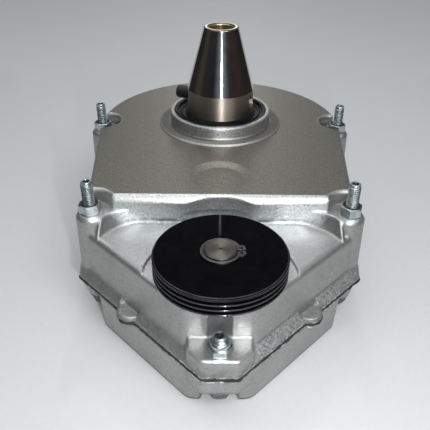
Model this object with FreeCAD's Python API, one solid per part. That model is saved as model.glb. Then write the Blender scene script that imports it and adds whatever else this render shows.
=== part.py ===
import FreeCAD, Part
import math
import os

# Mixer gear reducer: two spur stages in a two-part cast housing, belt pulley in, taper shaft out.
# Millimetres. The origin is where the output axis crosses the machined top face.
# +X is right, +Y points to the round back, +Z points up along the output shaft.

# Gear stages
STAGE1_MODULE = 1.5
STAGE2_MODULE = 2.0
INPUT_TEETH = 20
WHEEL_TEETH = 94
PINION_TEETH = 17
OUTPUT_TEETH = 80
PRESSURE_ANGLE = 20.0
BACKLASH = 0.24
DEDENDUM = 1.25
OUTPUT_GEAR_WIDTH = 20.0
WHEEL_WIDTH = 13.0
PINION_OVERHANG = 1.0
WEB_SHARE = 0.5
RIM_MODULES = 5.0
HUB_WALL = 9.0

# Castings
BACK_RADIUS = 102.2
UPPER_HEIGHT = 57.0
LOWER_HEIGHT = 30.5
GASKET_THICKNESS = 1.0
GASKET_INSET = 0.4
WALL = 6.0
CEILING = 8.0
FLOOR = 6.0
DRAFT = 2.0
TOP_EDGE = 1.4
BASE_EDGE = 1.5
STEP_TO_INPUT = 54.5
STEP_ROUND = 5.8
SHELF_DEPTH = 20.0
SHELF_EDGE_ROUND = 4.0
SHELF_FILLET = 2.0
SHELF_CEILING = 6.5
SHELF_DIAGONAL = 33.9
SHELF_NOSE = 27.5
SHELF_DRAFT = 3.0
NOSE_CORNER_ROUND = 6.0
BLEND_FOOT_RADIUS = 35.0
BLEND_FOOT_X = 48.0
BLEND_TOP_RADIUS = 20.0
BLEND_TOP_X = 60.0
BLEND_SWEEP = 66.0
FLANGE_DIAGONAL = 40.7
FLANGE_NOSE = 47.0
FLANGE_EDGE = 1.5
FLANGE_THICKNESS = 8.0
LEDGE_RISE = 10.2
NOSE_LUG_HALF_WIDTH = 19.2
NOSE_LUG_RISE = 14.5
NOSE_LUG_DROP = 11.5
NOSE_LUG_ROUND = 3.0
NOSE_LUG_EDGE = 1.0
NOSE_RELIEF_RADIUS = 12.0
PULLEY_RELIEF_RADIUS = 58.0
PULLEY_RELIEF_ROUND = 40.0
SPOT_FACE_RADIUS = 47.0
SPOT_FACE_DEPTH = 1.2
EAR_RADIUS = 8.5
EAR_REACH = 4.8
EAR_THICKNESS = 4.0
EAR_ALONG = 59.6
DISC_RADIUS = 21.8
DISC_FLOOR_RADIUS = 17.0
DISC_DEPTH = 3.0
PAD_RADIUS = 51.6
PAD_HEIGHT = 1.5
COLLAR_RADIUS = 42.4
COLLAR_HEIGHT = 11.5
COLLAR_ROUND = 1.2
LOWER_INSET = 5.5
LOWER_NOSE = 38.0
LOWER_NOSE_ROUND = 12.0
BOSS_WALL = 6.5

# Bolts between the castings
BOLT_RADIUS = 4.0
BOLT_SHANK_RADIUS = 3.6
BOLT_HOLE_CLEARANCE = 0.4
BOLT_STAND = 14.7
BOLT_END_CHAMFER = 0.9
BOLT_FLANGE_RADIUS = 8.9
BOLT_FLANGE_HEIGHT = 2.5
BOLT_HEAD_HEIGHT = 7.5
FRONT_BOLT_X = 86.3
FRONT_BOLT_TO_INPUT = 49.6
FRONT_BOLT_INSET = 1.4
NUT_ACROSS_FLATS = 13.0
NUT_HEIGHT = 6.8
NUT_TURNS = (27.0, 12.0, 5.0, 30.0)
SEAT_DEPTH = 8.4
SEAT_RADIUS = 8.0
COLUMN_TOP_RADIUS = 9.8
COLUMN_FOOT_RADIUS = 11.3
COLUMN_RIM_DROP = 2.6
POCKET_DEPTH = 9.7
POCKET_RADIUS = 15.0
POCKET_FLARE = 3.5
POCKET_WALL = 4.0
CORNER_LUG_DROP = 18.0
HEAD_POCKET_RADIUS = 11.0
HEAD_POCKET_WALL = 3.5
NOSE_BOLT_TO_INPUT = 38.5
NOSE_BOLT_STAND = 11.8
NOSE_NUT_HEX = 5.6
NOSE_NUT_HEIGHT = 8.6
NOSE_NUT_COLLAR = 5.9
DOWEL_RADIUS = 6.0
DOWEL_BORE = 4.6
DOWEL_LENGTH = 14.0

# Output shaft
JOURNAL_RADIUS = 27.5
OUTPUT_LIP = 4.0
OUTPUT_LIP_INSET = 3.0
TAPER_BASE_Z = 30.3
TAPER_TOP_Z = 79.4
TAPER_TOP_RADIUS = 14.1
TAPER_EDGE = 1.4
END_BORE_RADIUS = 10.0
END_BORE_DEPTH = 40.0
END_BORE_CHAMFER = 1.3
DRIVE_PIN_RADIUS = 6.0
DRIVE_PIN_END_RADIUS = 5.4
DRIVE_PIN_Z = 21.8
DRIVE_PIN_TURN = -20.0
DRIVE_PIN_REACH = 11.6
DRIVE_PIN_RECESS = 5.0
DRIVE_PIN_CHAMFER = 1.0
OUTPUT_COLLAR_RADIUS = 33.0
OUTPUT_COLLAR_LENGTH = 4.0
OUTPUT_SEAT_RADIUS = 26.0
OUTPUT_FOOT_RADIUS = 22.5
OUTPUT_FOOT_COLLAR = 2.0
OUTPUT_KEY_WIDTH = 14.0
OUTPUT_KEY_HEIGHT = 9.0
OUTPUT_CLIP_THICKNESS = 2.0

# Intermediate shaft
INTER_END_RADIUS = 8.5
INTER_COLLAR_RADIUS = 11.5
INTER_COLLAR_LENGTH = 4.5
INTER_SEAT_RADIUS = 12.5
INTER_SHOULDER_RADIUS = 16.5
INTER_SHOULDER_LENGTH = 3.0
INTER_KEY_WIDTH = 8.0
INTER_KEY_HEIGHT = 7.0
INTER_CLIP_THICKNESS = 1.2

# Input shaft and pulley
INPUT_SEAT_RADIUS = 10.0
INPUT_JOURNAL_RADIUS = 12.5
INPUT_FOOT_RADIUS = 10.0
INPUT_COLLAR_RADIUS = 15.0
INPUT_COLLAR_LENGTH = 3.5
INPUT_END_CHAMFER = 1.0
INPUT_STAND = 2.5
PULLEY_TOP_Z = -3.0
PULLEY_RADIUS = 40.0
PULLEY_FLANGE = 2.0
PULLEY_EDGE = 0.8
GROOVE_PITCH = 3.4
GROOVE_COUNT = 3
GROOVE_DEPTH = 2.6
GROOVE_CREST = 0.6
GROOVE_ROOT = 0.5
PULLEY_KEY_WIDTH = 6.0
PULLEY_KEY_HEIGHT = 6.0
PULLEY_KEY_LENGTH = 9.0
PULLEY_CLIP_THICKNESS = 1.2
CLIP_LUG_RADIUS = 2.7
CLIP_HOLE_RADIUS = 1.0

# Circlips: depth of the groove, width of the ring past the shaft, gap between the ends, strip of shaft below
CLIP_GROOVE = 0.6
CLIP_WIDTH_SHARE = 0.2
CLIP_GAP = 1.8
CLIP_STRIP = 2.0

# Bearings: outer radius and width; their bores are the shafts' own radii
OUTPUT_TOP_BEARING_RADIUS = 45.0
OUTPUT_TOP_BEARING_WIDTH = 18.0
OUTPUT_FOOT_BEARING_RADIUS = 37.5
OUTPUT_FOOT_BEARING_WIDTH = 16.0
INTER_BEARING_RADIUS = 20.0
INTER_BEARING_WIDTH = 12.0
INPUT_TOP_BEARING_RADIUS = 23.5
INPUT_TOP_BEARING_WIDTH = 12.0
INPUT_FOOT_BEARING_RADIUS = 23.5
INPUT_FOOT_BEARING_WIDTH = 14.0
RACE_SHARE = 0.28
SHIELD_THICKNESS = 0.8
SHIELD_INSET = 0.6

# Shaft seals
OUTPUT_SEAL_RADIUS = 39.0
OUTPUT_SEAL_WIDTH = 10.0
INPUT_SEAL_RADIUS = 20.0
INPUT_SEAL_WIDTH = 7.0
SEAL_INSET = 0.3
SEAL_RIM = 2.5
SEAL_DISH = 1.6
SEAL_LIP_WIDTH = 2.2
SEAL_LIP_HEIGHT = 3.0

# Clearances
RUNNING = 0.05
FACE_GAP = 0.5
SEAT_RELIEF = 1.5

# Places worked out from the sizes above
V = FreeCAD.Vector
UP = V(0, 0, 1)
ROOT2 = math.sqrt(2.0)
OVER = 1.0
INTER_AXIS = -STAGE2_MODULE * (OUTPUT_TEETH + PINION_TEETH) / 2
INPUT_AXIS = INTER_AXIS - STAGE1_MODULE * (WHEEL_TEETH + INPUT_TEETH) / 2
STEP_Y = INPUT_AXIS + STEP_TO_INPUT
FRONT_BOLT_Y = INPUT_AXIS + FRONT_BOLT_TO_INPUT
NOSE_BOLT_Y = INPUT_AXIS - NOSE_BOLT_TO_INPUT
PARTING_TOP = -UPPER_HEIGHT
PARTING_LOW = PARTING_TOP - GASKET_THICKNESS
BASE_Z = PARTING_LOW - LOWER_HEIGHT
FLOOR_Z = BASE_Z + FLOOR
SHELF_Z = -SHELF_DEPTH
SEAT_Z = -SEAT_DEPTH
POCKET_Z = -POCKET_DEPTH
NOSE_SEAT_Z = PARTING_TOP + NOSE_LUG_RISE
CORNER_HEAD_Z = PARTING_LOW - CORNER_LUG_DROP
NOSE_HEAD_Z = PARTING_LOW - NOSE_LUG_DROP
WALL_GROW = UPPER_HEIGHT * math.tan(math.radians(DRAFT))
LOWER_SHRINK = LOWER_HEIGHT * math.tan(math.radians(DRAFT))
SHELF_GROW = (UPPER_HEIGHT - SHELF_DEPTH) * math.tan(math.radians(SHELF_DRAFT))
CORNERS = [(s * FRONT_BOLT_X, FRONT_BOLT_Y) for s in (-1, 1)] + [(s * BACK_RADIUS, 0.0) for s in (-1, 1)]
DOWEL_CORNERS = [CORNERS[0], CORNERS[3]]

# Levels along the output axis
SEAL_TOP = COLLAR_HEIGHT - SEAL_INSET
SEAL_LOW = SEAL_TOP - OUTPUT_SEAL_WIDTH
OUTPUT_BEARING_TOP = -OUTPUT_LIP
OUTPUT_BEARING_LOW = OUTPUT_BEARING_TOP - OUTPUT_TOP_BEARING_WIDTH
OUTPUT_GEAR_TOP = OUTPUT_BEARING_LOW - OUTPUT_COLLAR_LENGTH
OUTPUT_GEAR_LOW = OUTPUT_GEAR_TOP - OUTPUT_GEAR_WIDTH
OUTPUT_CLIP_LOW = OUTPUT_GEAR_LOW - OUTPUT_CLIP_THICKNESS
OUTPUT_FOOT_LOW = FLOOR_Z + FACE_GAP
OUTPUT_FOOT_TOP = OUTPUT_FOOT_LOW + OUTPUT_FOOT_BEARING_WIDTH

# Levels along the intermediate axis
PINION_TOP = OUTPUT_GEAR_TOP + PINION_OVERHANG
PINION_LOW = OUTPUT_GEAR_LOW - PINION_OVERHANG
INTER_BEARING_LOW = PINION_TOP + INTER_COLLAR_LENGTH
INTER_BEARING_TOP = INTER_BEARING_LOW + INTER_BEARING_WIDTH
WHEEL_TOP = PINION_LOW - INTER_SHOULDER_LENGTH
WHEEL_LOW = WHEEL_TOP - WHEEL_WIDTH
INTER_CLIP_LOW = WHEEL_LOW - INTER_CLIP_THICKNESS
INTER_FOOT_TOP = INTER_CLIP_LOW - INTER_COLLAR_LENGTH
INTER_FOOT_LOW = INTER_FOOT_TOP - INTER_BEARING_WIDTH

# Levels along the input axis
PULLEY_LOW_Z = PULLEY_TOP_Z - PULLEY_FLANGE - GROOVE_COUNT * GROOVE_PITCH
INPUT_TOP_Z = PULLEY_TOP_Z + INPUT_STAND
SPOT_Z = SHELF_Z - SPOT_FACE_DEPTH
INPUT_SEAL_TOP = SPOT_Z - SEAL_INSET
INPUT_SEAL_LOW = INPUT_SEAL_TOP - INPUT_SEAL_WIDTH
INPUT_BEARING_TOP = INPUT_SEAL_LOW - FACE_GAP
INPUT_BEARING_LOW = INPUT_BEARING_TOP - INPUT_TOP_BEARING_WIDTH
INPUT_PINION_TOP = WHEEL_TOP + PINION_OVERHANG
INPUT_PINION_LOW = WHEEL_LOW - PINION_OVERHANG
INPUT_FOOT_LOW = FLOOR_Z + FACE_GAP
INPUT_FOOT_TOP = INPUT_FOOT_LOW + INPUT_FOOT_BEARING_WIDTH

# Each side wall is a straight line that touches the back circle and passes outside its front bolt.
SIDE_X = FRONT_BOLT_X + FRONT_BOLT_INSET
TAPER = -math.atan2(FRONT_BOLT_Y, SIDE_X) - math.acos(BACK_RADIUS / math.hypot(SIDE_X, FRONT_BOLT_Y))


# Shape helpers. An outline is a list of corners; a corner with a third entry is the middle of an arc.

def wire(points, place):
    loop = points + points[:1]
    edges = []
    i = 0
    while i < len(points):
        start = place(*loop[i][:2])
        arc = len(loop[i + 1]) == 3
        end = place(*loop[i + 1 + arc][:2])
        if arc:
            edges.append(Part.Arc(start, place(*loop[i + 1][:2]), end).toShape())
        else:
            edges.append(Part.makeLine(start, end))
        i += 1 + arc
    return Part.Wire(edges)


def flat_wire(points, z):
    return wire(points, lambda x, y: V(x, y, z))


def prism(points, low, high):
    return Part.Face(flat_wire(points, low)).extrude(V(0, 0, high - low))


def strip(points, half_length):
    """Bar along X from an outline of (y, z) corners."""
    face = Part.Face(wire(points, lambda y, z: V(-half_length, y, z)))
    return face.extrude(V(2 * half_length, 0, 0))


def lofted(sections):
    """Straight-walled solid through outlines given as (points, height)."""
    return Part.makeLoft([flat_wire(points, z) for points, z in sections], True, True)


def turned(points, y=0.0, x=0.0):
    """Solid of revolution about a vertical axis, from (radius, height) corners."""
    face = Part.Face(wire(points, lambda r, z: V(x + r, y, z)))
    return face.revolve(V(x, y, 0), UP, 360)


def cylinder(radius, low, high, y=0.0, x=0.0):
    return Part.makeCylinder(radius, high - low, V(x, y, low))


def tube(outer, inner, low, high, y=0.0, x=0.0):
    return cylinder(outer, low, high, y, x).cut(cylinder(inner, low, high, y, x))


def hexagon(across_flats, low, high, y, x, turn=0.0):
    r = across_flats / math.sqrt(3.0)
    angles = [math.radians(turn + 60 * i) for i in range(6)]
    return prism([(x + r * math.cos(a), y + r * math.sin(a)) for a in angles], low, high)


def joined(shapes):
    return shapes[0].multiFuse(shapes[1:]).removeSplitter()


def mirrored(half):
    """Closed outline from its right half, listed from front to back."""
    return half + [(-x, y) for x, y in reversed(half)]


def quarter(centre_a, centre_b, radius, sign_a, sign_b):
    """Middle point of a quarter round about a centre."""
    reach = radius / ROOT2
    return (centre_a + sign_a * reach, centre_b + sign_b * reach, "mid")


# Outlines of the castings

def side_x(radius, y):
    """Half width of the tapered sides that leave a back circle of this radius."""
    return (radius + y * math.sin(TAPER)) / math.cos(TAPER)


def bowl_outline(grow, front_y):
    r = BACK_RADIUS + grow
    front_x = side_x(r, front_y)
    back = (r * math.cos(TAPER), -r * math.sin(TAPER))
    return [(-front_x, front_y), (front_x, front_y), back, (0.0, r, "mid"), (-back[0], back[1])]


def diagonal_sum(diagonal):
    """The value of |x| - y on a diagonal wall this far from the input axis."""
    return diagonal * ROOT2 - INPUT_AXIS


def wedge_outline(diagonal, nose, back_y):
    """Nose and diagonals that end at the front bolts, closed inside the bowl."""
    total = diagonal_sum(diagonal)
    nose_y = INPUT_AXIS - nose
    beside = (total - FRONT_BOLT_X + FRONT_BOLT_Y) / 2
    return mirrored([
        (total + nose_y, nose_y),
        (FRONT_BOLT_X + beside, FRONT_BOLT_Y - beside),
        (FRONT_BOLT_X, FRONT_BOLT_Y),
        (FRONT_BOLT_X - COLUMN_TOP_RADIUS, back_y),
    ])


def nose_outline(diagonal, nose, grow, back_y):
    """Nose, diagonals and tapered sides, closed along back_y."""
    total = diagonal_sum(diagonal)
    nose_y = INPUT_AXIS - nose
    radius = BACK_RADIUS + grow
    corner_y = (radius / math.cos(TAPER) - total) / (1 - math.tan(TAPER))
    return mirrored([
        (total + nose_y, nose_y),
        (total + corner_y, corner_y),
        (side_x(radius, back_y), back_y),
    ])


def nose_lug_outline(inset=0.0):
    total = diagonal_sum(FLANGE_DIAGONAL - inset)
    nose_y = INPUT_AXIS - FLANGE_NOSE + inset
    side = NOSE_LUG_HALF_WIDTH - inset
    return mirrored([(total + nose_y, nose_y), (side, side - total), (side, INPUT_AXIS - SHELF_NOSE + WALL)])


def nose_lug(low, high, inset=0.0):
    block = prism(nose_lug_outline(inset), low, high)
    upright = [e for e in block.Edges
               if e.BoundBox.ZLength > (high - low) / 2 and e.CenterOfMass.y < INPUT_AXIS - SHELF_NOSE - WALL]
    return block.makeFillet(NOSE_LUG_ROUND, upright)


def front_lugs(profile):
    """Turned lugs round the front bolts, trimmed flat at the sides."""
    trim = FRONT_BOLT_X + COLUMN_FOOT_RADIUS
    corner = V(-trim, FRONT_BOLT_Y - trim, BASE_Z)
    slab = Part.makeBox(2 * trim, 2 * trim, UPPER_HEIGHT + LOWER_HEIGHT, corner)
    return [turned(profile, FRONT_BOLT_Y, x).common(slab) for x in (-FRONT_BOLT_X, FRONT_BOLT_X)]


def front_lug_radius(inset=0.0):
    return (diagonal_sum(FLANGE_DIAGONAL - inset) - FRONT_BOLT_X + FRONT_BOLT_Y) / ROOT2


def ears(low, high, inset=0.0):
    inside = (EAR_RADIUS - EAR_REACH) / ROOT2
    x = EAR_ALONG - inside
    y = EAR_ALONG - diagonal_sum(FLANGE_DIAGONAL) + inside
    return [cylinder(EAR_RADIUS - inset, low, high, y, s * x) for s in (-1, 1)]


def bolt_holes(low, high):
    radius = BOLT_RADIUS + BOLT_HOLE_CLEARANCE
    holes = [cylinder(radius, low, high, y, x) for x, y in CORNERS]
    return holes + [cylinder(radius, low, high, NOSE_BOLT_Y)]


def dowel_holes(low, high):
    return [cylinder(DOWEL_RADIUS, low, high, y, x) for x, y in DOWEL_CORNERS]


def columns(foot_z, top_z, seat_radius):
    """Bolt columns, wide at the parting plane and chamfered at the bolt seat."""
    toward = 1 if top_z > foot_z else -1
    profile = [
        (0.0, foot_z),
        (COLUMN_FOOT_RADIUS, foot_z),
        (COLUMN_TOP_RADIUS, top_z - toward * COLUMN_RIM_DROP),
        (seat_radius, top_z),
        (0.0, top_z),
    ]
    return [turned(profile, y, x) for x, y in CORNERS]


# Upper casting

def shelf_block():
    back_y = STEP_Y + WALL
    foot = wedge_outline(SHELF_DIAGONAL + SHELF_GROW, SHELF_NOSE + SHELF_GROW, back_y)
    block = lofted([(foot, PARTING_TOP), (wedge_outline(SHELF_DIAGONAL, SHELF_NOSE, back_y), SHELF_Z)])
    nose_y = INPUT_AXIS - SHELF_NOSE
    upright = [e for e in block.Edges
               if abs(e.CenterOfMass.z - (SHELF_Z + PARTING_TOP) / 2) < 1 and e.CenterOfMass.y < nose_y]
    block = block.makeFillet(NOSE_CORNER_ROUND, upright)
    rim = [e for e in block.Edges
           if abs(e.BoundBox.ZMin - SHELF_Z) < 1e-4 and e.CenterOfMass.y < FRONT_BOLT_Y - COLUMN_TOP_RADIUS]
    return block.makeFillet(SHELF_EDGE_ROUND, rim)


def ledge():
    """Sloped flange along the diagonals, with flat pads at the ears."""
    back_y = STEP_Y + WALL
    edge_z = PARTING_TOP + FLANGE_EDGE
    top_z = PARTING_TOP + LEDGE_RISE
    edge = wedge_outline(FLANGE_DIAGONAL, FLANGE_NOSE, back_y)
    under_wall = wedge_outline(SHELF_DIAGONAL, SHELF_NOSE, back_y)
    slope = lofted([(edge, edge_z), (under_wall, top_z)])
    pad_z = PARTING_TOP + EAR_THICKNESS
    body = joined([prism(edge, PARTING_TOP, edge_z), slope])
    lug = front_lug_radius()
    lug_profile = [(0.0, PARTING_TOP), (lug, PARTING_TOP), (lug, edge_z),
                   (COLUMN_TOP_RADIUS, top_z), (0.0, top_z)]
    body = joined([body] + front_lugs(lug_profile))
    for notch in ears(pad_z, top_z + OVER):
        body = body.cut(notch)
    return joined([body] + ears(PARTING_TOP, pad_z))


def bowl():
    body = lofted([
        (bowl_outline(WALL_GROW, STEP_Y), PARTING_TOP),
        (bowl_outline(0.0, STEP_Y), -TOP_EDGE),
        (bowl_outline(-TOP_EDGE, STEP_Y), 0.0),
    ])
    r = STEP_ROUND
    body = body.cut(strip([
        (STEP_Y - OVER, OVER),
        (STEP_Y + r, OVER),
        (STEP_Y + r, 0.0),
        quarter(STEP_Y + r, -r, r, -1, 1),
        (STEP_Y, -r),
        (STEP_Y - OVER, -r),
    ], BACK_RADIUS))
    f = POCKET_FLARE
    pocket = [
        (0.0, POCKET_Z),
        (POCKET_RADIUS, POCKET_Z),
        (POCKET_RADIUS, -f),
        quarter(POCKET_RADIUS + f, -f, f, -1, 1),
        (POCKET_RADIUS + f, 0.0),
        (POCKET_RADIUS + f, OVER),
        (0.0, OVER),
    ]
    return body.cut([turned(pocket, y, x) for x, y in CORNERS])


def collar():
    r = COLLAR_ROUND
    return turned([
        (0.0, -OVER),
        (PAD_RADIUS, -OVER),
        (PAD_RADIUS, PAD_HEIGHT / 2),
        (PAD_RADIUS - PAD_HEIGHT / 2, PAD_HEIGHT),
        (COLLAR_RADIUS, PAD_HEIGHT),
        (COLLAR_RADIUS, COLLAR_HEIGHT - r),
        quarter(COLLAR_RADIUS - r, COLLAR_HEIGHT - r, r, 1, 1),
        (COLLAR_RADIUS - r, COLLAR_HEIGHT),
        (0.0, COLLAR_HEIGHT),
    ])


def shelf_fillet():
    f = SHELF_FILLET
    return strip([
        (STEP_Y + OVER, SHELF_Z - OVER),
        (STEP_Y - f, SHELF_Z - OVER),
        (STEP_Y - f, SHELF_Z),
        quarter(STEP_Y - f, SHELF_Z + f, f, 1, -1),
        (STEP_Y, SHELF_Z + f),
        (STEP_Y + OVER, SHELF_Z + f),
    ], FRONT_BOLT_X)


def blend_outline(side, start_x, radius):
    """Corner where the step wall sweeps forward round a front bolt."""
    def on_arc(degrees):
        a = math.radians(degrees)
        return (side * (start_x + radius * math.sin(a)), STEP_Y - radius * (1 - math.cos(a)))

    back_y = STEP_Y + WALL
    return [
        (side * start_x, back_y),
        on_arc(0.0),
        on_arc(BLEND_SWEEP / 2) + ("mid",),
        on_arc(BLEND_SWEEP),
        (side * FRONT_BOLT_X, FRONT_BOLT_Y),
        (side * FRONT_BOLT_X, back_y),
    ]


def step_blends():
    sunk_z = SHELF_Z - SHELF_EDGE_ROUND / 2
    blends = []
    for side in (-1, 1):
        foot = blend_outline(side, BLEND_FOOT_X, BLEND_FOOT_RADIUS)
        top = blend_outline(side, BLEND_TOP_X, BLEND_TOP_RADIUS)
        blends += [prism(foot, sunk_z, SHELF_Z), lofted([(foot, SHELF_Z), (top, POCKET_Z)])]
    return blends


def pulley_relief():
    """Scoop in the step wall behind the pulley, eased into the wall at both sides."""
    big, ease = PULLEY_RELIEF_RADIUS, PULLEY_RELIEF_ROUND
    centre_y = STEP_Y + ease
    centre_x = math.sqrt((big + ease) ** 2 - (STEP_TO_INPUT + ease) ** 2)
    lean = math.atan2(centre_x, STEP_TO_INPUT + ease)
    tools = [cylinder(big, SHELF_Z, OVER, INPUT_AXIS)]
    for side in (-1, 1):
        def on_ease(angle):
            return (side * (centre_x - ease * math.sin(angle)), centre_y - ease * math.cos(angle))

        corner = [on_ease(0.0), on_ease(lean / 2) + ("mid",), on_ease(lean),
                  (side * centre_x / 2, STEP_Y - SHELF_FILLET), (side * centre_x, STEP_Y - SHELF_FILLET)]
        tools.append(prism(corner, SHELF_Z, OVER))
    return joined(tools)


def upper_nose_lug():
    block = nose_lug(PARTING_TOP, NOSE_SEAT_Z)
    rim = [e for e in block.Edges
           if abs(e.BoundBox.ZMin - NOSE_SEAT_Z) < 1e-4 and e.CenterOfMass.y < INPUT_AXIS - SHELF_NOSE]
    return block.makeFillet(NOSE_LUG_EDGE, rim)


def upper_cavity():
    back_y = STEP_Y + 2 * WALL
    room = lofted([
        (bowl_outline(WALL_GROW - WALL, STEP_Y + WALL), PARTING_TOP),
        (bowl_outline(-WALL, STEP_Y + WALL), -CEILING),
    ])
    grow = SHELF_GROW - WALL
    foot = nose_outline(SHELF_DIAGONAL + grow, SHELF_NOSE + grow, WALL_GROW - WALL - OVER, back_y)
    head = nose_outline(SHELF_DIAGONAL - WALL, SHELF_NOSE - WALL, -WALL - OVER, back_y)
    front = lofted([(foot, PARTING_TOP), (head, SHELF_Z - SHELF_CEILING)])
    kept = [cylinder(POCKET_RADIUS + POCKET_WALL, POCKET_Z - POCKET_WALL, 0.0, y, x) for x, y in CORNERS]
    return joined([room, front]).cut(columns(PARTING_TOP, SEAT_Z, SEAT_RADIUS) + kept)


def upper_bosses():
    return [
        cylinder(OUTPUT_TOP_BEARING_RADIUS + BOSS_WALL, OUTPUT_BEARING_LOW, -CEILING + OVER),
        cylinder(INTER_BEARING_RADIUS + BOSS_WALL, INTER_BEARING_LOW, -CEILING + OVER, INTER_AXIS),
        cylinder(INPUT_TOP_BEARING_RADIUS + BOSS_WALL, INPUT_BEARING_LOW, SHELF_Z - SHELF_CEILING + OVER,
                 INPUT_AXIS),
    ]


def upper_cuts():
    d = DISC_DEPTH
    disc = turned([
        (0.0, -d),
        (DISC_FLOOR_RADIUS, -d),
        (DISC_RADIUS, 0.0),
        (DISC_RADIUS, OVER),
        (0.0, OVER),
    ], INTER_AXIS)
    dowel_top = PARTING_TOP + (DOWEL_LENGTH - GASKET_THICKNESS) / 2
    return [
        disc,
        cylinder(OUTPUT_SEAL_RADIUS, SEAL_LOW, COLLAR_HEIGHT + OVER),
        cylinder(OUTPUT_SEAL_RADIUS - OUTPUT_LIP_INSET, OUTPUT_BEARING_LOW, SEAL_LOW + OVER),
        cylinder(OUTPUT_TOP_BEARING_RADIUS, OUTPUT_BEARING_LOW - OVER, OUTPUT_BEARING_TOP),
        cylinder(INTER_BEARING_RADIUS, INTER_BEARING_LOW - OVER, INTER_BEARING_TOP, INTER_AXIS),
        cylinder(INTER_COLLAR_RADIUS, INTER_BEARING_LOW, INTER_BEARING_TOP + SEAT_RELIEF, INTER_AXIS),
        cylinder(INPUT_TOP_BEARING_RADIUS, INPUT_BEARING_LOW - OVER, INPUT_BEARING_TOP, INPUT_AXIS),
        cylinder(INPUT_SEAL_RADIUS, INPUT_BEARING_LOW, SHELF_Z + OVER, INPUT_AXIS),
        cylinder(SPOT_FACE_RADIUS, SPOT_Z, SHELF_Z + OVER, INPUT_AXIS),
        pulley_relief(),
        cylinder(NOSE_RELIEF_RADIUS, NOSE_SEAT_Z, SHELF_Z + OVER, NOSE_BOLT_Y),
    ] + bolt_holes(PARTING_TOP - OVER, OVER) + dowel_holes(PARTING_TOP - OVER, dowel_top)


def upper_housing():
    outside = joined([
        bowl(),
        shelf_block(),
        ledge(),
        upper_nose_lug(),
        collar(),
        shelf_fillet(),
    ] + step_blends() + columns(PARTING_TOP, SEAT_Z, SEAT_RADIUS))
    body = joined([outside.cut(upper_cavity())] + upper_bosses())
    return body.cut(upper_cuts()).removeSplitter()


# Lower casting

def lower_nose(shrink, side_shrink, back_y):
    grow = WALL_GROW - LOWER_INSET - side_shrink
    return nose_outline(FLANGE_DIAGONAL - shrink, LOWER_NOSE - shrink, grow, back_y)


def lower_body():
    back_y = STEP_Y + WALL
    edge_z = BASE_Z + BASE_EDGE
    side = WALL_GROW - LOWER_INSET
    round_part = lofted([
        (bowl_outline(side - LOWER_SHRINK - BASE_EDGE, STEP_Y), BASE_Z),
        (bowl_outline(side - LOWER_SHRINK, STEP_Y), edge_z),
        (bowl_outline(side, STEP_Y), PARTING_LOW),
    ])
    inside = OVER / 4
    wall = lower_nose(LOWER_SHRINK, LOWER_SHRINK + inside, back_y)
    edge = lower_nose(LOWER_SHRINK + BASE_EDGE, LOWER_SHRINK + BASE_EDGE + inside, back_y)
    nose_part = lofted([(edge, BASE_Z), (wall, edge_z), (lower_nose(0.0, inside, back_y), PARTING_LOW)])
    upright = [e for e in nose_part.Edges
               if e.BoundBox.ZLength > BASE_EDGE / 2 and e.CenterOfMass.y < INPUT_AXIS - LOWER_NOSE / 2]
    return [round_part, nose_part.makeFillet(LOWER_NOSE_ROUND, upright)]


def head_pockets(low, high, wall=0.0, nose_high=None):
    """Round pockets for the bolt heads, or with a wall the metal kept round them."""
    pockets = [cylinder(HEAD_POCKET_RADIUS + wall, low, high, y, x) for x, y in CORNERS]
    return pockets + [cylinder(NOSE_RELIEF_RADIUS + wall, low, nose_high or high, NOSE_BOLT_Y)]


def lower_cavity():
    back_y = STEP_Y + 2 * WALL
    side = WALL_GROW - LOWER_INSET - WALL
    room = lofted([
        (bowl_outline(side - LOWER_SHRINK, STEP_Y + WALL), FLOOR_Z),
        (bowl_outline(side, STEP_Y + WALL), PARTING_LOW),
    ])
    front = lofted([
        (lower_nose(LOWER_SHRINK + WALL, LOWER_SHRINK + WALL + OVER, back_y), FLOOR_Z),
        (lower_nose(WALL, WALL + OVER, back_y), PARTING_LOW),
    ])
    return joined([room, front]).cut(head_pockets(FLOOR_Z, PARTING_LOW, HEAD_POCKET_WALL))


def foot_seat(axis, radius, low, top):
    return [
        cylinder(radius, low, top + OVER, axis),
        cylinder(radius - radius * RACE_SHARE / 2, low - SEAT_RELIEF, low + OVER, axis),
    ]


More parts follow.
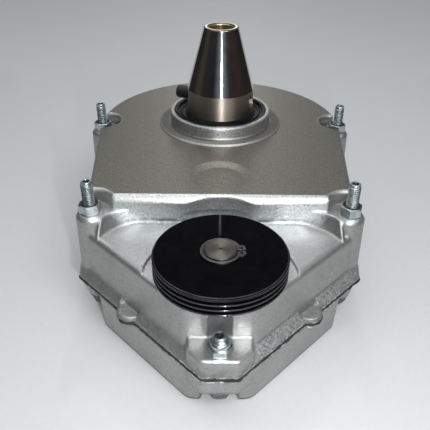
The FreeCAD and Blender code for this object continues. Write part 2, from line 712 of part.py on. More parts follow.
def lower_housing():
    rim_low = PARTING_LOW - FLANGE_THICKNESS
    lug = front_lug_radius()
    lug_profile = [(0.0, PARTING_LOW), (lug, PARTING_LOW), (lug, PARTING_LOW - FLANGE_EDGE),
                   (COLUMN_TOP_RADIUS, PARTING_LOW - LEDGE_RISE), (0.0, PARTING_LOW - LEDGE_RISE)]
    outside = joined(lower_body() + [
        prism(bowl_outline(WALL_GROW, STEP_Y), rim_low, PARTING_LOW),
        nose_lug(NOSE_HEAD_Z, PARTING_LOW),
    ] + front_lugs(lug_profile) + columns(PARTING_LOW, CORNER_HEAD_Z, BOLT_FLANGE_RADIUS)
        + ears(PARTING_LOW - EAR_THICKNESS, PARTING_LOW))
    body = joined([
        outside.cut(lower_cavity()),
        cylinder(OUTPUT_FOOT_BEARING_RADIUS + BOSS_WALL, FLOOR_Z - OVER, OUTPUT_FOOT_TOP),
        cylinder(INTER_BEARING_RADIUS + BOSS_WALL, FLOOR_Z - OVER, INTER_FOOT_TOP, INTER_AXIS),
        cylinder(INPUT_FOOT_BEARING_RADIUS + BOSS_WALL, FLOOR_Z - OVER, INPUT_FOOT_TOP, INPUT_AXIS),
    ])
    dowel_low = PARTING_LOW - (DOWEL_LENGTH - GASKET_THICKNESS) / 2
    cuts = foot_seat(0.0, OUTPUT_FOOT_BEARING_RADIUS, OUTPUT_FOOT_LOW, OUTPUT_FOOT_TOP)
    cuts += foot_seat(INTER_AXIS, INTER_BEARING_RADIUS, INTER_FOOT_LOW, INTER_FOOT_TOP)
    cuts += foot_seat(INPUT_AXIS, INPUT_FOOT_BEARING_RADIUS, INPUT_FOOT_LOW, INPUT_FOOT_TOP)
    cuts += head_pockets(BASE_Z - OVER, CORNER_HEAD_Z, nose_high=NOSE_HEAD_Z)
    cuts += bolt_holes(BASE_Z - OVER, PARTING_LOW + OVER)
    cuts += dowel_holes(dowel_low, PARTING_LOW + OVER)
    return body.cut(cuts).removeSplitter()


def gasket():
    low, high, inset = PARTING_LOW, PARTING_TOP, GASKET_INSET
    lug = front_lug_radius(inset)
    sheet = joined([
        prism(bowl_outline(WALL_GROW - inset, STEP_Y), low, high),
        prism(wedge_outline(FLANGE_DIAGONAL - inset, LOWER_NOSE, STEP_Y + WALL), low, high),
        nose_lug(low, high, inset),
    ] + front_lugs([(0.0, low), (lug, low), (lug, high), (0.0, high)]) + ears(low, high, inset)
        + [cylinder(COLUMN_FOOT_RADIUS - inset, low, high, y, x) for x, y in CORNERS])
    hollow = joined([
        prism(bowl_outline(WALL_GROW - LOWER_INSET - WALL, STEP_Y + WALL), low, high),
        prism(lower_nose(WALL, WALL + OVER, STEP_Y + 2 * WALL), low, high),
    ]).cut(head_pockets(low, high, HEAD_POCKET_WALL))
    return sheet.cut([hollow] + bolt_holes(low, high) + dowel_holes(low, high))


# Fasteners

def bolt(x, y, head_z, nut_top, tip_z):
    c = BOLT_END_CHAMFER
    r = BOLT_RADIUS
    flange_low = head_z - BOLT_FLANGE_HEIGHT
    shank = turned([
        (0.0, flange_low),
        (NUT_ACROSS_FLATS / 2, flange_low),
        (BOLT_FLANGE_RADIUS, head_z - BOLT_FLANGE_HEIGHT / 2),
        (BOLT_FLANGE_RADIUS, head_z),
        (BOLT_SHANK_RADIUS, head_z),
        (BOLT_SHANK_RADIUS, nut_top),
        (r, nut_top),
        (r, tip_z - c),
        (r - c, tip_z),
        (0.0, tip_z),
    ], y, x)
    return joined([shank, hexagon(NUT_ACROSS_FLATS, head_z - BOLT_HEAD_HEIGHT, flange_low, y, x)])


def nut(x, y, seat_z, height, turn=0.0):
    return hexagon(NUT_ACROSS_FLATS, seat_z, seat_z + height, y, x, turn).cut(
        cylinder(BOLT_SHANK_RADIUS, seat_z, seat_z + height, y, x))


def lock_nut(y, seat_z):
    collar_low = seat_z + NOSE_NUT_HEX
    top = seat_z + NOSE_NUT_HEIGHT
    ring = turned([
        (BOLT_SHANK_RADIUS, collar_low),
        (NUT_ACROSS_FLATS / 2, collar_low),
        (NOSE_NUT_COLLAR, top - OVER),
        (NOSE_NUT_COLLAR - OVER, top),
        (BOLT_SHANK_RADIUS, top),
    ], y)
    return joined([nut(0.0, y, seat_z, NOSE_NUT_HEX), ring])


def dowel_sleeves():
    low = (PARTING_TOP + PARTING_LOW - DOWEL_LENGTH) / 2
    return [tube(DOWEL_RADIUS, DOWEL_BORE, low, low + DOWEL_LENGTH, y, x) for x, y in DOWEL_CORNERS]


# Bearings, seals and clips

def inner_race(bore, outer, low, width, axis):
    return tube(bore + (outer - bore) * RACE_SHARE, bore, low, low + width, axis)


def outer_race(bore, outer, low, width, axis):
    """Outer ring with a shield on each side that runs close to the inner ring."""
    track = outer - (outer - bore) * RACE_SHARE
    lip = bore + (outer - bore) * RACE_SHARE + RUNNING
    low_in = low + SHIELD_INSET
    high = low + width
    high_in = high - SHIELD_INSET
    t = SHIELD_THICKNESS
    return turned([
        (outer, low), (outer, high), (track, high), (track, high_in),
        (lip, high_in), (lip, high_in - t), (track, high_in - t),
        (track, low_in + t), (lip, low_in + t), (lip, low_in), (track, low_in), (track, low),
    ], axis)


def seal(shaft_radius, outer, low, top, axis):
    """Shaft seal: stiff rim, dished face, lip on the shaft, open underneath."""
    lip = shaft_radius + RUNNING
    lip_back = lip + SEAL_LIP_WIDTH
    dish = top - SEAL_DISH
    rim = outer - SEAL_RIM
    under = dish - SEAL_LIP_HEIGHT
    return turned([
        (outer, low), (outer, top), (rim, top), (rim - SEAL_DISH / 2, dish), (lip_back, dish),
        (lip, top - SEAL_INSET), (lip, under), (lip_back, under), (rim, under), (rim, low),
    ], axis)


def clip(shaft_radius, low, thickness, axis, lugs=False):
    """Spring ring in a groove of the shaft, open towards +X."""
    inner = shaft_radius - CLIP_GROOVE
    outer = shaft_radius * (1 + CLIP_WIDTH_SHARE)
    ring = tube(outer, inner, low, low + thickness, axis)
    if lugs:
        spots = [(outer, axis + s * (CLIP_GAP / 2 + CLIP_LUG_RADIUS / 2)) for s in (-1, 1)]
        ring = joined([ring] + [cylinder(CLIP_LUG_RADIUS, low, low + thickness, y, x) for x, y in spots])
        ring = ring.cut([cylinder(CLIP_HOLE_RADIUS, low, low + thickness, y, x) for x, y in spots])
        ring = ring.cut(cylinder(inner, low, low + thickness, axis))
    gap = Part.makeBox(2 * outer, CLIP_GAP, thickness, V(0, axis - CLIP_GAP / 2, low))
    return ring.cut(gap)


# Gears and shafts

def toothed(module, teeth, low, high, axis, middle_deg, chords):
    """Spur gear with straight teeth; one tooth points at middle_deg."""
    pitch_r = module * teeth / 2
    alpha = math.radians(PRESSURE_ANGLE)
    base_r = pitch_r * math.cos(alpha)
    tip_r = pitch_r + module
    root_r = pitch_r - DEDENDUM * module
    half_pitch = (math.pi * module / 2 - BACKLASH / 2) / 2 / pitch_r

    def half_angle(r):
        phi = math.acos(min(1.0, base_r / r))
        return half_pitch + (math.tan(alpha) - alpha) - (math.tan(phi) - phi)

    start = max(base_r, root_r)
    flank = [start + (tip_r - start) * i / chords for i in range(chords + 1)]
    side = [(r, half_angle(r)) for r in flank]
    if root_r < base_r:
        side = [(root_r, half_angle(base_r))] + side
    points = []
    for k in range(teeth):
        centre = math.radians(middle_deg) + 2 * math.pi * k / teeth
        tooth = [(r, centre - a) for r, a in side] + [(r, centre + a) for r, a in reversed(side)]
        points += [(r * math.cos(a), axis + r * math.sin(a)) for r, a in tooth]
    return prism(points, low, high)


def wheel(module, teeth, low, high, axis, middle_deg, bore, chords):
    """Gear with a hub, a thin web and a rim."""
    hub = bore + HUB_WALL
    rim = module * (teeth / 2 - RIM_MODULES)
    depth = (high - low) * (1 - WEB_SHARE) / 2
    blank = toothed(module, teeth, low, high, axis, middle_deg, chords)
    return blank.cut([
        tube(rim, hub, low, low + depth, axis),
        tube(rim, hub, high - depth, high, axis),
        cylinder(bore, low, high, axis),
    ])


def key(shaft_radius, width, height, low, high, axis):
    """Parallel key half sunk in the +Y side of a shaft."""
    return Part.makeBox(width, height, high - low, V(-width / 2, axis + shaft_radius - height / 2, low))


def output_shaft():
    e = TAPER_EDGE
    end_z = TAPER_TOP_Z - END_BORE_DEPTH
    mouth = END_BORE_RADIUS + END_BORE_CHAMFER
    strip_low = OUTPUT_CLIP_LOW - CLIP_STRIP
    foot_collar = OUTPUT_FOOT_TOP + OUTPUT_FOOT_COLLAR
    middle = (OUTPUT_FOOT_RADIUS + OUTPUT_SEAT_RADIUS) / 2
    groove = OUTPUT_SEAT_RADIUS - CLIP_GROOVE
    body = turned([
        (0.0, OUTPUT_FOOT_LOW), (OUTPUT_FOOT_RADIUS, OUTPUT_FOOT_LOW),
        (OUTPUT_FOOT_RADIUS, OUTPUT_FOOT_TOP), (middle, OUTPUT_FOOT_TOP),
        (middle, foot_collar), (OUTPUT_FOOT_RADIUS, foot_collar),
        (OUTPUT_FOOT_RADIUS, strip_low), (OUTPUT_SEAT_RADIUS, strip_low),
        (OUTPUT_SEAT_RADIUS, OUTPUT_CLIP_LOW), (groove, OUTPUT_CLIP_LOW),
        (groove, OUTPUT_GEAR_LOW), (OUTPUT_SEAT_RADIUS, OUTPUT_GEAR_LOW),
        (OUTPUT_SEAT_RADIUS, OUTPUT_GEAR_TOP), (OUTPUT_COLLAR_RADIUS, OUTPUT_GEAR_TOP),
        (OUTPUT_COLLAR_RADIUS, OUTPUT_BEARING_LOW), (JOURNAL_RADIUS, OUTPUT_BEARING_LOW),
        (JOURNAL_RADIUS, TAPER_BASE_Z), (TAPER_TOP_RADIUS, TAPER_TOP_Z - e),
        quarter(TAPER_TOP_RADIUS - e, TAPER_TOP_Z - e, e, 1, 1),
        (TAPER_TOP_RADIUS - e, TAPER_TOP_Z), (mouth, TAPER_TOP_Z),
        (END_BORE_RADIUS, TAPER_TOP_Z - END_BORE_CHAMFER), (END_BORE_RADIUS, end_z), (0.0, end_z),
    ])
    reach, hole = 2 * JOURNAL_RADIUS, DRIVE_PIN_RADIUS
    cross_hole = cross_bar([(-reach, 0.0), (-reach, hole), (reach, hole), (reach, 0.0)])
    return body.cut([cross_hole, output_key()])


def cross_bar(profile):
    """Round bar across the output shaft from (along, radius) corners, turned as the drive pin is."""
    face = Part.Face(wire(profile, lambda along, r: V(along, r, DRIVE_PIN_Z)))
    bar = face.revolve(V(0, 0, DRIVE_PIN_Z), V(1, 0, 0), 360)
    return bar.rotated(V(0, 0, 0), UP, DRIVE_PIN_TURN)


def drive_pin():
    """Pin that fills the cross hole, with a thinner end that stands out of it."""
    c = DRIVE_PIN_CHAMFER
    left = -JOURNAL_RADIUS - DRIVE_PIN_REACH
    shoulder = -JOURNAL_RADIUS + DRIVE_PIN_RECESS
    right = JOURNAL_RADIUS - DRIVE_PIN_RECESS
    end, hole = DRIVE_PIN_END_RADIUS, DRIVE_PIN_RADIUS
    return cross_bar([
        (left, 0.0), (left, end - c), (left + c, end), (shoulder, end), (shoulder, hole),
        (right - c, hole), (right, hole - c), (right, 0.0),
    ])


def output_key():
    return key(OUTPUT_SEAT_RADIUS, OUTPUT_KEY_WIDTH, OUTPUT_KEY_HEIGHT, OUTPUT_GEAR_LOW + FACE_GAP,
               OUTPUT_GEAR_TOP - FACE_GAP, 0.0)


def output_gear():
    blank = wheel(STAGE2_MODULE, OUTPUT_TEETH, OUTPUT_GEAR_LOW, OUTPUT_GEAR_TOP, 0.0, -90.0,
                  OUTPUT_SEAT_RADIUS, 2)
    return blank.cut(output_key())


def intermediate_shaft():
    strip_low = INTER_CLIP_LOW - CLIP_STRIP
    groove = INTER_SEAT_RADIUS - CLIP_GROOVE
    body = turned([
        (0.0, INTER_FOOT_LOW), (INTER_END_RADIUS, INTER_FOOT_LOW), (INTER_END_RADIUS, INTER_FOOT_TOP),
        (INTER_COLLAR_RADIUS, INTER_FOOT_TOP), (INTER_COLLAR_RADIUS, strip_low),
        (INTER_SEAT_RADIUS, strip_low),
        (INTER_SEAT_RADIUS, INTER_CLIP_LOW), (groove, INTER_CLIP_LOW), (groove, WHEEL_LOW),
        (INTER_SEAT_RADIUS, WHEEL_LOW), (INTER_SEAT_RADIUS, WHEEL_TOP), (INTER_SHOULDER_RADIUS, WHEEL_TOP),
        (INTER_SHOULDER_RADIUS, PINION_LOW), (INTER_COLLAR_RADIUS, PINION_LOW),
        (INTER_COLLAR_RADIUS, INTER_BEARING_LOW), (INTER_END_RADIUS, INTER_BEARING_LOW),
        (INTER_END_RADIUS, INTER_BEARING_TOP), (0.0, INTER_BEARING_TOP),
    ], INTER_AXIS)
    space = 90.0 + 180.0 / PINION_TEETH
    pinion = toothed(STAGE2_MODULE, PINION_TEETH, PINION_LOW, PINION_TOP, INTER_AXIS, space, 3)
    return joined([body, pinion]).cut(intermediate_key())


def intermediate_key():
    return key(INTER_SEAT_RADIUS, INTER_KEY_WIDTH, INTER_KEY_HEIGHT, WHEEL_LOW + FACE_GAP,
               WHEEL_TOP - FACE_GAP, INTER_AXIS)


def intermediate_gear():
    blank = wheel(STAGE1_MODULE, WHEEL_TEETH, WHEEL_LOW, WHEEL_TOP, INTER_AXIS, -90.0, INTER_SEAT_RADIUS, 2)
    return blank.cut(intermediate_key())


def input_shaft():
    c = INPUT_END_CHAMFER
    groove = INPUT_SEAT_RADIUS - CLIP_GROOVE
    clip_top = PULLEY_TOP_Z + PULLEY_CLIP_THICKNESS
    collar_low = INPUT_BEARING_LOW - INPUT_COLLAR_LENGTH
    body = turned([
        (0.0, INPUT_FOOT_LOW), (INPUT_FOOT_RADIUS, INPUT_FOOT_LOW), (INPUT_FOOT_RADIUS, INPUT_FOOT_TOP),
        (INPUT_JOURNAL_RADIUS, INPUT_FOOT_TOP), (INPUT_JOURNAL_RADIUS, collar_low),
        (INPUT_COLLAR_RADIUS, collar_low), (INPUT_COLLAR_RADIUS, INPUT_BEARING_LOW),
        (INPUT_JOURNAL_RADIUS, INPUT_BEARING_LOW), (INPUT_JOURNAL_RADIUS, PULLEY_LOW_Z),
        (INPUT_SEAT_RADIUS, PULLEY_LOW_Z), (INPUT_SEAT_RADIUS, PULLEY_TOP_Z), (groove, PULLEY_TOP_Z),
        (groove, clip_top), (INPUT_SEAT_RADIUS, clip_top), (INPUT_SEAT_RADIUS, INPUT_TOP_Z - c / 2),
        (INPUT_SEAT_RADIUS - c, INPUT_TOP_Z), (0.0, INPUT_TOP_Z),
    ], INPUT_AXIS)
    space = 90.0 + 180.0 / INPUT_TEETH
    pinion = toothed(STAGE1_MODULE, INPUT_TEETH, INPUT_PINION_LOW, INPUT_PINION_TOP, INPUT_AXIS, space, 3)
    return joined([body, pinion]).cut(pulley_key())


def pulley_key():
    low = PULLEY_LOW_Z + FACE_GAP
    high = low + PULLEY_KEY_LENGTH
    return key(INPUT_SEAT_RADIUS, PULLEY_KEY_WIDTH, PULLEY_KEY_HEIGHT, low, high, INPUT_AXIS)


def pulley():
    mouth = GROOVE_PITCH - GROOVE_CREST
    profile = [
        (INPUT_SEAT_RADIUS, PULLEY_LOW_Z), (INPUT_SEAT_RADIUS, PULLEY_TOP_Z),
        (PULLEY_RADIUS - PULLEY_EDGE, PULLEY_TOP_Z), (PULLEY_RADIUS, PULLEY_TOP_Z - PULLEY_EDGE),
    ]
    for i in range(GROOVE_COUNT):
        top = PULLEY_TOP_Z - PULLEY_FLANGE - i * GROOVE_PITCH
        profile += [
            (PULLEY_RADIUS, top),
            (PULLEY_RADIUS - GROOVE_DEPTH, top - (mouth - GROOVE_ROOT) / 2),
            (PULLEY_RADIUS - GROOVE_DEPTH, top - (mouth + GROOVE_ROOT) / 2),
            (PULLEY_RADIUS, top - mouth),
        ]
    profile.append((PULLEY_RADIUS, PULLEY_LOW_Z))
    return turned(profile, INPUT_AXIS).cut(pulley_key())


# Nodes

NODES = {
    "upper_housing": upper_housing(),
    "lower_housing": lower_housing(),
    "housing_gasket": gasket(),
    "corner_bolts": Part.makeCompound([bolt(x, y, CORNER_HEAD_Z, SEAT_Z + NUT_HEIGHT, BOLT_STAND)
                                       for x, y in CORNERS]),
    "corner_nuts": Part.makeCompound([nut(x, y, SEAT_Z, NUT_HEIGHT, turn)
                                      for (x, y), turn in zip(CORNERS, NUT_TURNS)]),
    "nose_bolt": bolt(0.0, NOSE_BOLT_Y, NOSE_HEAD_Z, NOSE_SEAT_Z + NOSE_NUT_HEIGHT,
                      NOSE_SEAT_Z + NOSE_BOLT_STAND),
    "nose_lock_nut": lock_nut(NOSE_BOLT_Y, NOSE_SEAT_Z),
    "dowel_sleeves": Part.makeCompound(dowel_sleeves()),
    "output_seal": seal(JOURNAL_RADIUS, OUTPUT_SEAL_RADIUS, SEAL_LOW, SEAL_TOP, 0.0),
    "input_seal": seal(INPUT_JOURNAL_RADIUS, INPUT_SEAL_RADIUS, INPUT_SEAL_LOW, INPUT_SEAL_TOP, INPUT_AXIS),
    "output_shaft": output_shaft(),
    "drive_pin": drive_pin(),
    "output_gear": output_gear(),
    "output_gear_key": output_key(),
    "output_gear_clip": clip(OUTPUT_SEAT_RADIUS, OUTPUT_CLIP_LOW, OUTPUT_CLIP_THICKNESS, 0.0),
    "intermediate_shaft": intermediate_shaft(),
    "intermediate_gear": intermediate_gear(),
    "intermediate_gear_key": intermediate_key(),
    "intermediate_gear_clip": clip(INTER_SEAT_RADIUS, INTER_CLIP_LOW, INTER_CLIP_THICKNESS, INTER_AXIS),
    "input_shaft": input_shaft(),
    "pulley": pulley(),
    "pulley_key": pulley_key(),
    "pulley_clip": clip(INPUT_SEAT_RADIUS, PULLEY_TOP_Z, PULLEY_CLIP_THICKNESS, INPUT_AXIS, lugs=True),
}

BEARINGS = {
    "output_top_bearing": (JOURNAL_RADIUS, OUTPUT_TOP_BEARING_RADIUS, OUTPUT_BEARING_LOW,
                           OUTPUT_TOP_BEARING_WIDTH, 0.0),
    "output_foot_bearing": (OUTPUT_FOOT_RADIUS, OUTPUT_FOOT_BEARING_RADIUS, OUTPUT_FOOT_LOW,
                            OUTPUT_FOOT_BEARING_WIDTH, 0.0),
    "intermediate_top_bearing": (INTER_END_RADIUS, INTER_BEARING_RADIUS, INTER_BEARING_LOW,
                                 INTER_BEARING_WIDTH, INTER_AXIS),
    "intermediate_foot_bearing": (INTER_END_RADIUS, INTER_BEARING_RADIUS, INTER_FOOT_LOW,
                                  INTER_BEARING_WIDTH, INTER_AXIS),
    "input_top_bearing": (INPUT_JOURNAL_RADIUS, INPUT_TOP_BEARING_RADIUS, INPUT_BEARING_LOW,
                          INPUT_TOP_BEARING_WIDTH, INPUT_AXIS),
    "input_foot_bearing": (INPUT_FOOT_RADIUS, INPUT_FOOT_BEARING_RADIUS, INPUT_FOOT_LOW,
                           INPUT_FOOT_BEARING_WIDTH, INPUT_AXIS),
}
for name, sizes in BEARINGS.items():
    NODES[name + "_inner"] = inner_race(*sizes)
    NODES[name + "_outer"] = outer_race(*sizes)

os.makedirs("parts", exist_ok=True)
for name, shape in NODES.items():
    shape.exportStep("parts/" + name + ".step")
    print(name, len(shape.Solids), "solid", round(shape.Volume / 1000, 2), "cm3", shape.isValid())
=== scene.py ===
import math

import bpy
from bpy.props import FloatProperty, FloatVectorProperty, IntProperty, PointerProperty
from bpy.types import Operator, Panel, PropertyGroup
from mathutils import Matrix, Vector


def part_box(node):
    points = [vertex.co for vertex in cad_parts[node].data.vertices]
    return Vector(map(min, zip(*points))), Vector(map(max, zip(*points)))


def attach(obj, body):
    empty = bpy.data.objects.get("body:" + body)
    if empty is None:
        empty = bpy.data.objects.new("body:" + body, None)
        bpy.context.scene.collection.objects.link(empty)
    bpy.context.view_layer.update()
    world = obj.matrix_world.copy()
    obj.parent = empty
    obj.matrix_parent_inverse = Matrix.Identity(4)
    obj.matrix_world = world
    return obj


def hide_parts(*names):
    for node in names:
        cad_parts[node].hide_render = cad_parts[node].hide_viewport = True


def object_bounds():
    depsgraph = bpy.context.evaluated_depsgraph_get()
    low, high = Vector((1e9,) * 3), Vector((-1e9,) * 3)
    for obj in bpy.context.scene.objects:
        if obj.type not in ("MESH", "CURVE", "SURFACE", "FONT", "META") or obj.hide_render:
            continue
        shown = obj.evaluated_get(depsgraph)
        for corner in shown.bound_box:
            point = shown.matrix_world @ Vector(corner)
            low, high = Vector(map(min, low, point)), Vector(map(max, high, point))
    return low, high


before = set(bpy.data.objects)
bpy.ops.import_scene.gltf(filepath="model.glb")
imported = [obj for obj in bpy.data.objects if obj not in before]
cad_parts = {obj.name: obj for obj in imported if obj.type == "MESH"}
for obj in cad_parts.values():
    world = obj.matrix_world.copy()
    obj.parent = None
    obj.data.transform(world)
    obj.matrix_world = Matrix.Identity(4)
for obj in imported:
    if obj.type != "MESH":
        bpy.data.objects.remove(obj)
CAD_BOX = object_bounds()

bl_info = {
    "name": "Mixer gear reducer",
    "version": (1, 0, 0),
    "blender": (4, 5, 0),
    "location": "View3D > Sidebar > Reducer",
    "description": "Finishes and fasteners for a two-stage gear reducer with a belt pulley and a taper shaft",
    "category": "Object",
}

MM = 0.001

# Shaft axes as seen from above, by the first word of the names of the nodes on each shaft
OUTPUT_AXIS = (0.0, 0.0)
INTER_AXIS = (0.0, -97.0 * MM)
INPUT_AXIS = (0.0, -182.5 * MM)
SHAFT_AXES = {"output": OUTPUT_AXIS, "intermediate": INTER_AXIS, "input": INPUT_AXIS}
OWN_FINISH = ("output_shaft", "output_seal", "input_shaft", "input_seal")

# Places on the castings where their finish changes
DISC_RADIUS = 22.0 * MM  # flat disc in the top face, over the intermediate shaft
COLLAR_RADIUS = 52.8 * MM  # raised ring round the output seal
COLLAR_DOME = (43.0 * MM, 52.0 * MM)
STEP_SIDE = 78.0 * MM  # half the width of the wall between the top face and the shelf
STEP_FRONT, STEP_BACK = -133.0 * MM, -110.0 * MM
SILL = (-20.3 * MM, -16.5 * MM)  # foot of that wall
LEDGE = (-56.0 * MM, -47.0 * MM)  # rough band over the parting line, right of the nose
LIPS = ((-56.3 * MM, -55.2 * MM), (-60.0 * MM, -58.8 * MM))  # edges above and below the gasket
PIT_COLOUR = (0.07, 0.085, 0.088)
# Painted shade in the crease under the step, painted shade on the walls and painted light on the step wall
SILL_SHADE_COLOUR = (0.20, 0.245, 0.25)
SIDE_SHADE_TINT = (0.76, 0.755, 0.745)
STEP_LIGHT_TINT = (1.16, 1.18, 1.18)

# Places on the output shaft and the pulley
TAPER_FOOT = 30.3 * MM
BORE_RADIUS = 11.2 * MM
BORE_FLOOR = 35.0 * MM
SHAFT_TOP = 78.8 * MM
PULLEY_RIM = (38.6 * MM, 39.0 * MM)

# Bolts and nuts
FRONT_BOLTS = ((-86.3, -132.9), (86.3, -132.9))
REAR_BOLTS = ((-102.2, 0.0), (102.2, 0.0))
CORNERS = tuple((x * MM, y * MM) for x, y in FRONT_BOLTS + REAR_BOLTS)
BOLT_TURN = 40.0  # degrees from one corner bolt to the next
NUT_TURNS = (27.0, 12.0, 5.0, 30.0)
NOSE = (0.0, -221.0 * MM)
HEAD_HEIGHT = 7.5 * MM
FLANGE_HEIGHT = 2.5 * MM
FLANGE_RADIUS = 8.9 * MM
SHANK_RADIUS = 3.6 * MM
THREAD_IN_NUT = 2.0 * MM  # how far the modelled thread runs into its nut
LOCK_NUT_HEX = 5.6 * MM
THREAD_LEAD = 2.3  # turns before the part of the thread that is kept
THREAD_ROOT, THREAD_CREST = 0.0, 1.0
THREAD_RIDGE = (  # root or crest, and the share of one turn
    (THREAD_ROOT, 0.0), (THREAD_ROOT, 0.10), (THREAD_CREST, 0.46),
    (THREAD_CREST, 0.58), (THREAD_ROOT, 0.94), (THREAD_ROOT, 1.0),
)

# Outline of the output seal in millimetres: first inwards from its outside, then outwards
# from its lip, each with the depth below its top
SEAL_FACE = (
    (0.0, 0.4), (0.4, 0.0), (2.1, 0.0), (2.7, 0.3), (3.0, 1.0), (3.3, 1.6),
    (4.0, 1.85), (4.8, 1.7), (5.4, 1.2), (6.1, 0.95), (6.8, 1.2), (7.3, 1.8),
)
SEAL_LIP = (
    (3.4, 2.15), (2.6, 2.0), (1.7, 1.2), (0.8, 0.45), (0.3, 0.3), (0.0, 0.6), (0.0, 4.2), (2.4, 4.6),
)
SEAL_WALL = 2.5
SEAL_HOLLOW = 4.6
LIP_INSIDE_BEARING = 4.85 * MM

# Stage, in metres: name, place, target and size of each light, and the setting with its power
LIGHTS = (
    ("key_light", (0.30, -0.75, 0.95), (0.0, -0.10, 0.0), (0.90, 0.45), "key_watts"),
    ("top_light", (-0.2, 0.15, 1.2), (0.0, -0.06, 0.0), (0.9, 0.9), "top_watts"),
    ("back_light", (0.0, 1.7, 0.62), (0.0, -0.10, 0.0), (0.40, 0.35), "back_watts"),
    ("high_light", (0.0, 0.72, 1.05), (0.0, -0.18, 0.0), (0.016, 0.1), "high_watts"),
    ("streak_light", (0.012, 0.945, 0.745), (0.0, -0.155, 0.0), (0.0025, 0.08), "streak_watts"),
    ("rim_light", (0.0, -0.56, 0.37), (0.0, -0.22, 0.0), (0.10, 0.03), "rim_watts"),
    ("lens_light", (0.02, -0.47, 0.15), (0.0, 0.0, 0.02), (0.04, 0.24), "lens_watts"),
    ("flash", (0.030, -0.43, 0.115), (0.0, -0.10, 0.0), (0.012, 0.012), "flash_watts"),
)
FLOOR_RADIUS = 12.0
FLOOR_RAMP = (0.8, 3.0)  # the floor grows paler between these distances
FAR_FLOOR = 1.92
CARD_HEIGHT = 0.42
CARD_DARK = (0.007, 0.006, 0.006)
CARD_STRIPES = (  # middle, half width of the full colour and of all of it, in radians; colour
    (0.05, 0.0, 0.55, (0.19, 0.24, 0.29)),
    (-1.45, 0.10, 0.38, (0.034, 0.036, 0.021)),
    (1.20, 0.15, 0.55, (0.026, 0.015, 0.012)),
)
CAMERA_PLACE = (-3.307 * MM, -419.061 * MM, 179.234 * MM)
CAMERA_TURN = (33.523, 0.512, -0.042)  # pitch, roll and yaw in degrees


# Sizes and colours that a user would change

def length(label, about, value, low, high):
    """Property for a size, from millimetres."""
    return FloatProperty(
        name=label, description=about, default=value * MM, min=low * MM, max=high * MM, unit="LENGTH")


def tint(label, about, *value):
    """Property for a colour."""
    return FloatVectorProperty(
        name=label, description=about, default=value, size=3, min=0.0, max=1.0, subtype="COLOR")


def power(label, about, watts, most):
    """Property for the power of a light."""
    return FloatProperty(name=label, description=about, default=watts, min=0.0, max=most, unit="POWER")


class FastenerSizes(PropertyGroup):
    thread_pitch: length("Thread pitch", "Rise of the bolt thread in one turn", 1.45, 0.5, 2.0)
    thread_depth: length("Thread depth", "From the crest of the thread to its root", 0.75, 0.1, 1.2)
    thread_radius: length("Thread radius", "Outer radius of the bolt thread", 4.0, 3.0, 5.0)
    across_flats: length("Across flats", "Width of the nuts and bolt heads over two flats", 13.0, 10.0, 17.0)
    tip_radius: length("Tip radius", "Radius of the plain end above the thread", 3.5, 2.5, 4.0)
    tip_length: length("Tip length", "Height of the plain end above the thread", 2.2, 0.5, 4.0)
    tip_cup: length("Tip cup", "Radius of the hollow in the end of each bolt", 2.1, 0.5, 3.0)
    turn_steps: IntProperty(
        name="Steps in a turn", description="Faces round one turn of the thread", default=32, min=12, max=96)


class BeadSizes(PropertyGroup):
    radius: length("Bead radius", "Half the height of the bead along the parting line", 1.2, 0.3, 2.0)
    grain: length("Bead grain", "Size of the faces of the bead", 0.5, 0.3, 1.0)
    lump_size: length("Lump size", "Length of the lumps along the bead", 4.0, 1.0, 20.0)
    lump_height: length("Lump height", "How far the lumps stand out", 1.7, 0.0, 3.0)


class FinishColours(PropertyGroup):
    cast: tint("Cast alloy", "Skin of the die castings", 0.485, 0.492, 0.490)
    milled: tint("Milled alloy", "Machined top face", 0.19, 0.183, 0.160)
    zinc: tint("Zinc", "Plating of the nuts and bolts", 0.50, 0.56, 0.575)
    polished: tint("Polished steel", "Taper of the output shaft", 0.60, 0.575, 0.55)
    bore: tint("Bore", "Oiled bore in the end of the output shaft", 0.66, 0.54, 0.38)
    ground: tint(
        "Ground steel", "Journal of the output shaft and the machined steel inside", 0.44, 0.385, 0.32)
    shaft_end: tint("Shaft end", "Turned end of the input shaft in the pulley", 0.098, 0.093, 0.078)
    black: tint("Black finish", "Pulley and drive pin", 0.0020, 0.0020, 0.0028)
    worn: tint("Worn edges", "Bare metal on the edges of the pulley's rim and grooves", 0.20, 0.20, 0.205)
    rubber: tint("Seal rubber", "Shaft seals", 0.003, 0.0032, 0.0042)
    gasket: tint("Gasket", "Sheet between the castings", 0.012, 0.0115, 0.012)
    spring: tint("Spring steel", "Circlips", 0.20, 0.20, 0.21)


class StageSettings(PropertyGroup):
    floor_colour: tint("Floor", "Colour of the pale floor", 0.54, 0.55, 0.56)
    room_colour: tint("Room", "Colour of the pale room all round", 0.35, 0.36, 0.37)
    lens: FloatProperty(
        name="Lens", description="Focal length of the camera on a 36 mm sensor, in millimetres",
        default=43.174, min=10.0, max=200.0)
    key_watts: power("Key light", "Power of the soft light beside the camera", 8.5, 200.0)
    top_watts: power("Top light", "Power of the soft light overhead", 3.6, 200.0)
    lens_watts: power("Lens light", "Power of the narrow light beside the lens", 0.03, 50.0)
    flash_watts: power("Flash", "Power of the small bright light below the lens", 0.64, 50.0)
    streak_watts: power("Streak light", "Power of the thin light that the pulley's face mirrors", 0.011, 5.0)
    rim_watts: power("Rim light", "Power of the light that the pulley's front rim mirrors", 0.15, 5.0)
    high_watts: power("High light", "Power of the narrow light high behind the object", 1.2, 50.0)
    back_watts: power("Back light", "Power of the soft light behind the object", 1.2, 200.0)
    card_radius: length(
        "Card radius", "Distance of the dark card that the polished taper reflects", 520.0, 300.0, 2000.0)
    card_reach: FloatProperty(
        name="Card reach", description="How far the dark card runs round each side, from straight in front",
        default=math.radians(140.0), min=0.0, max=math.pi, subtype="ANGLE")
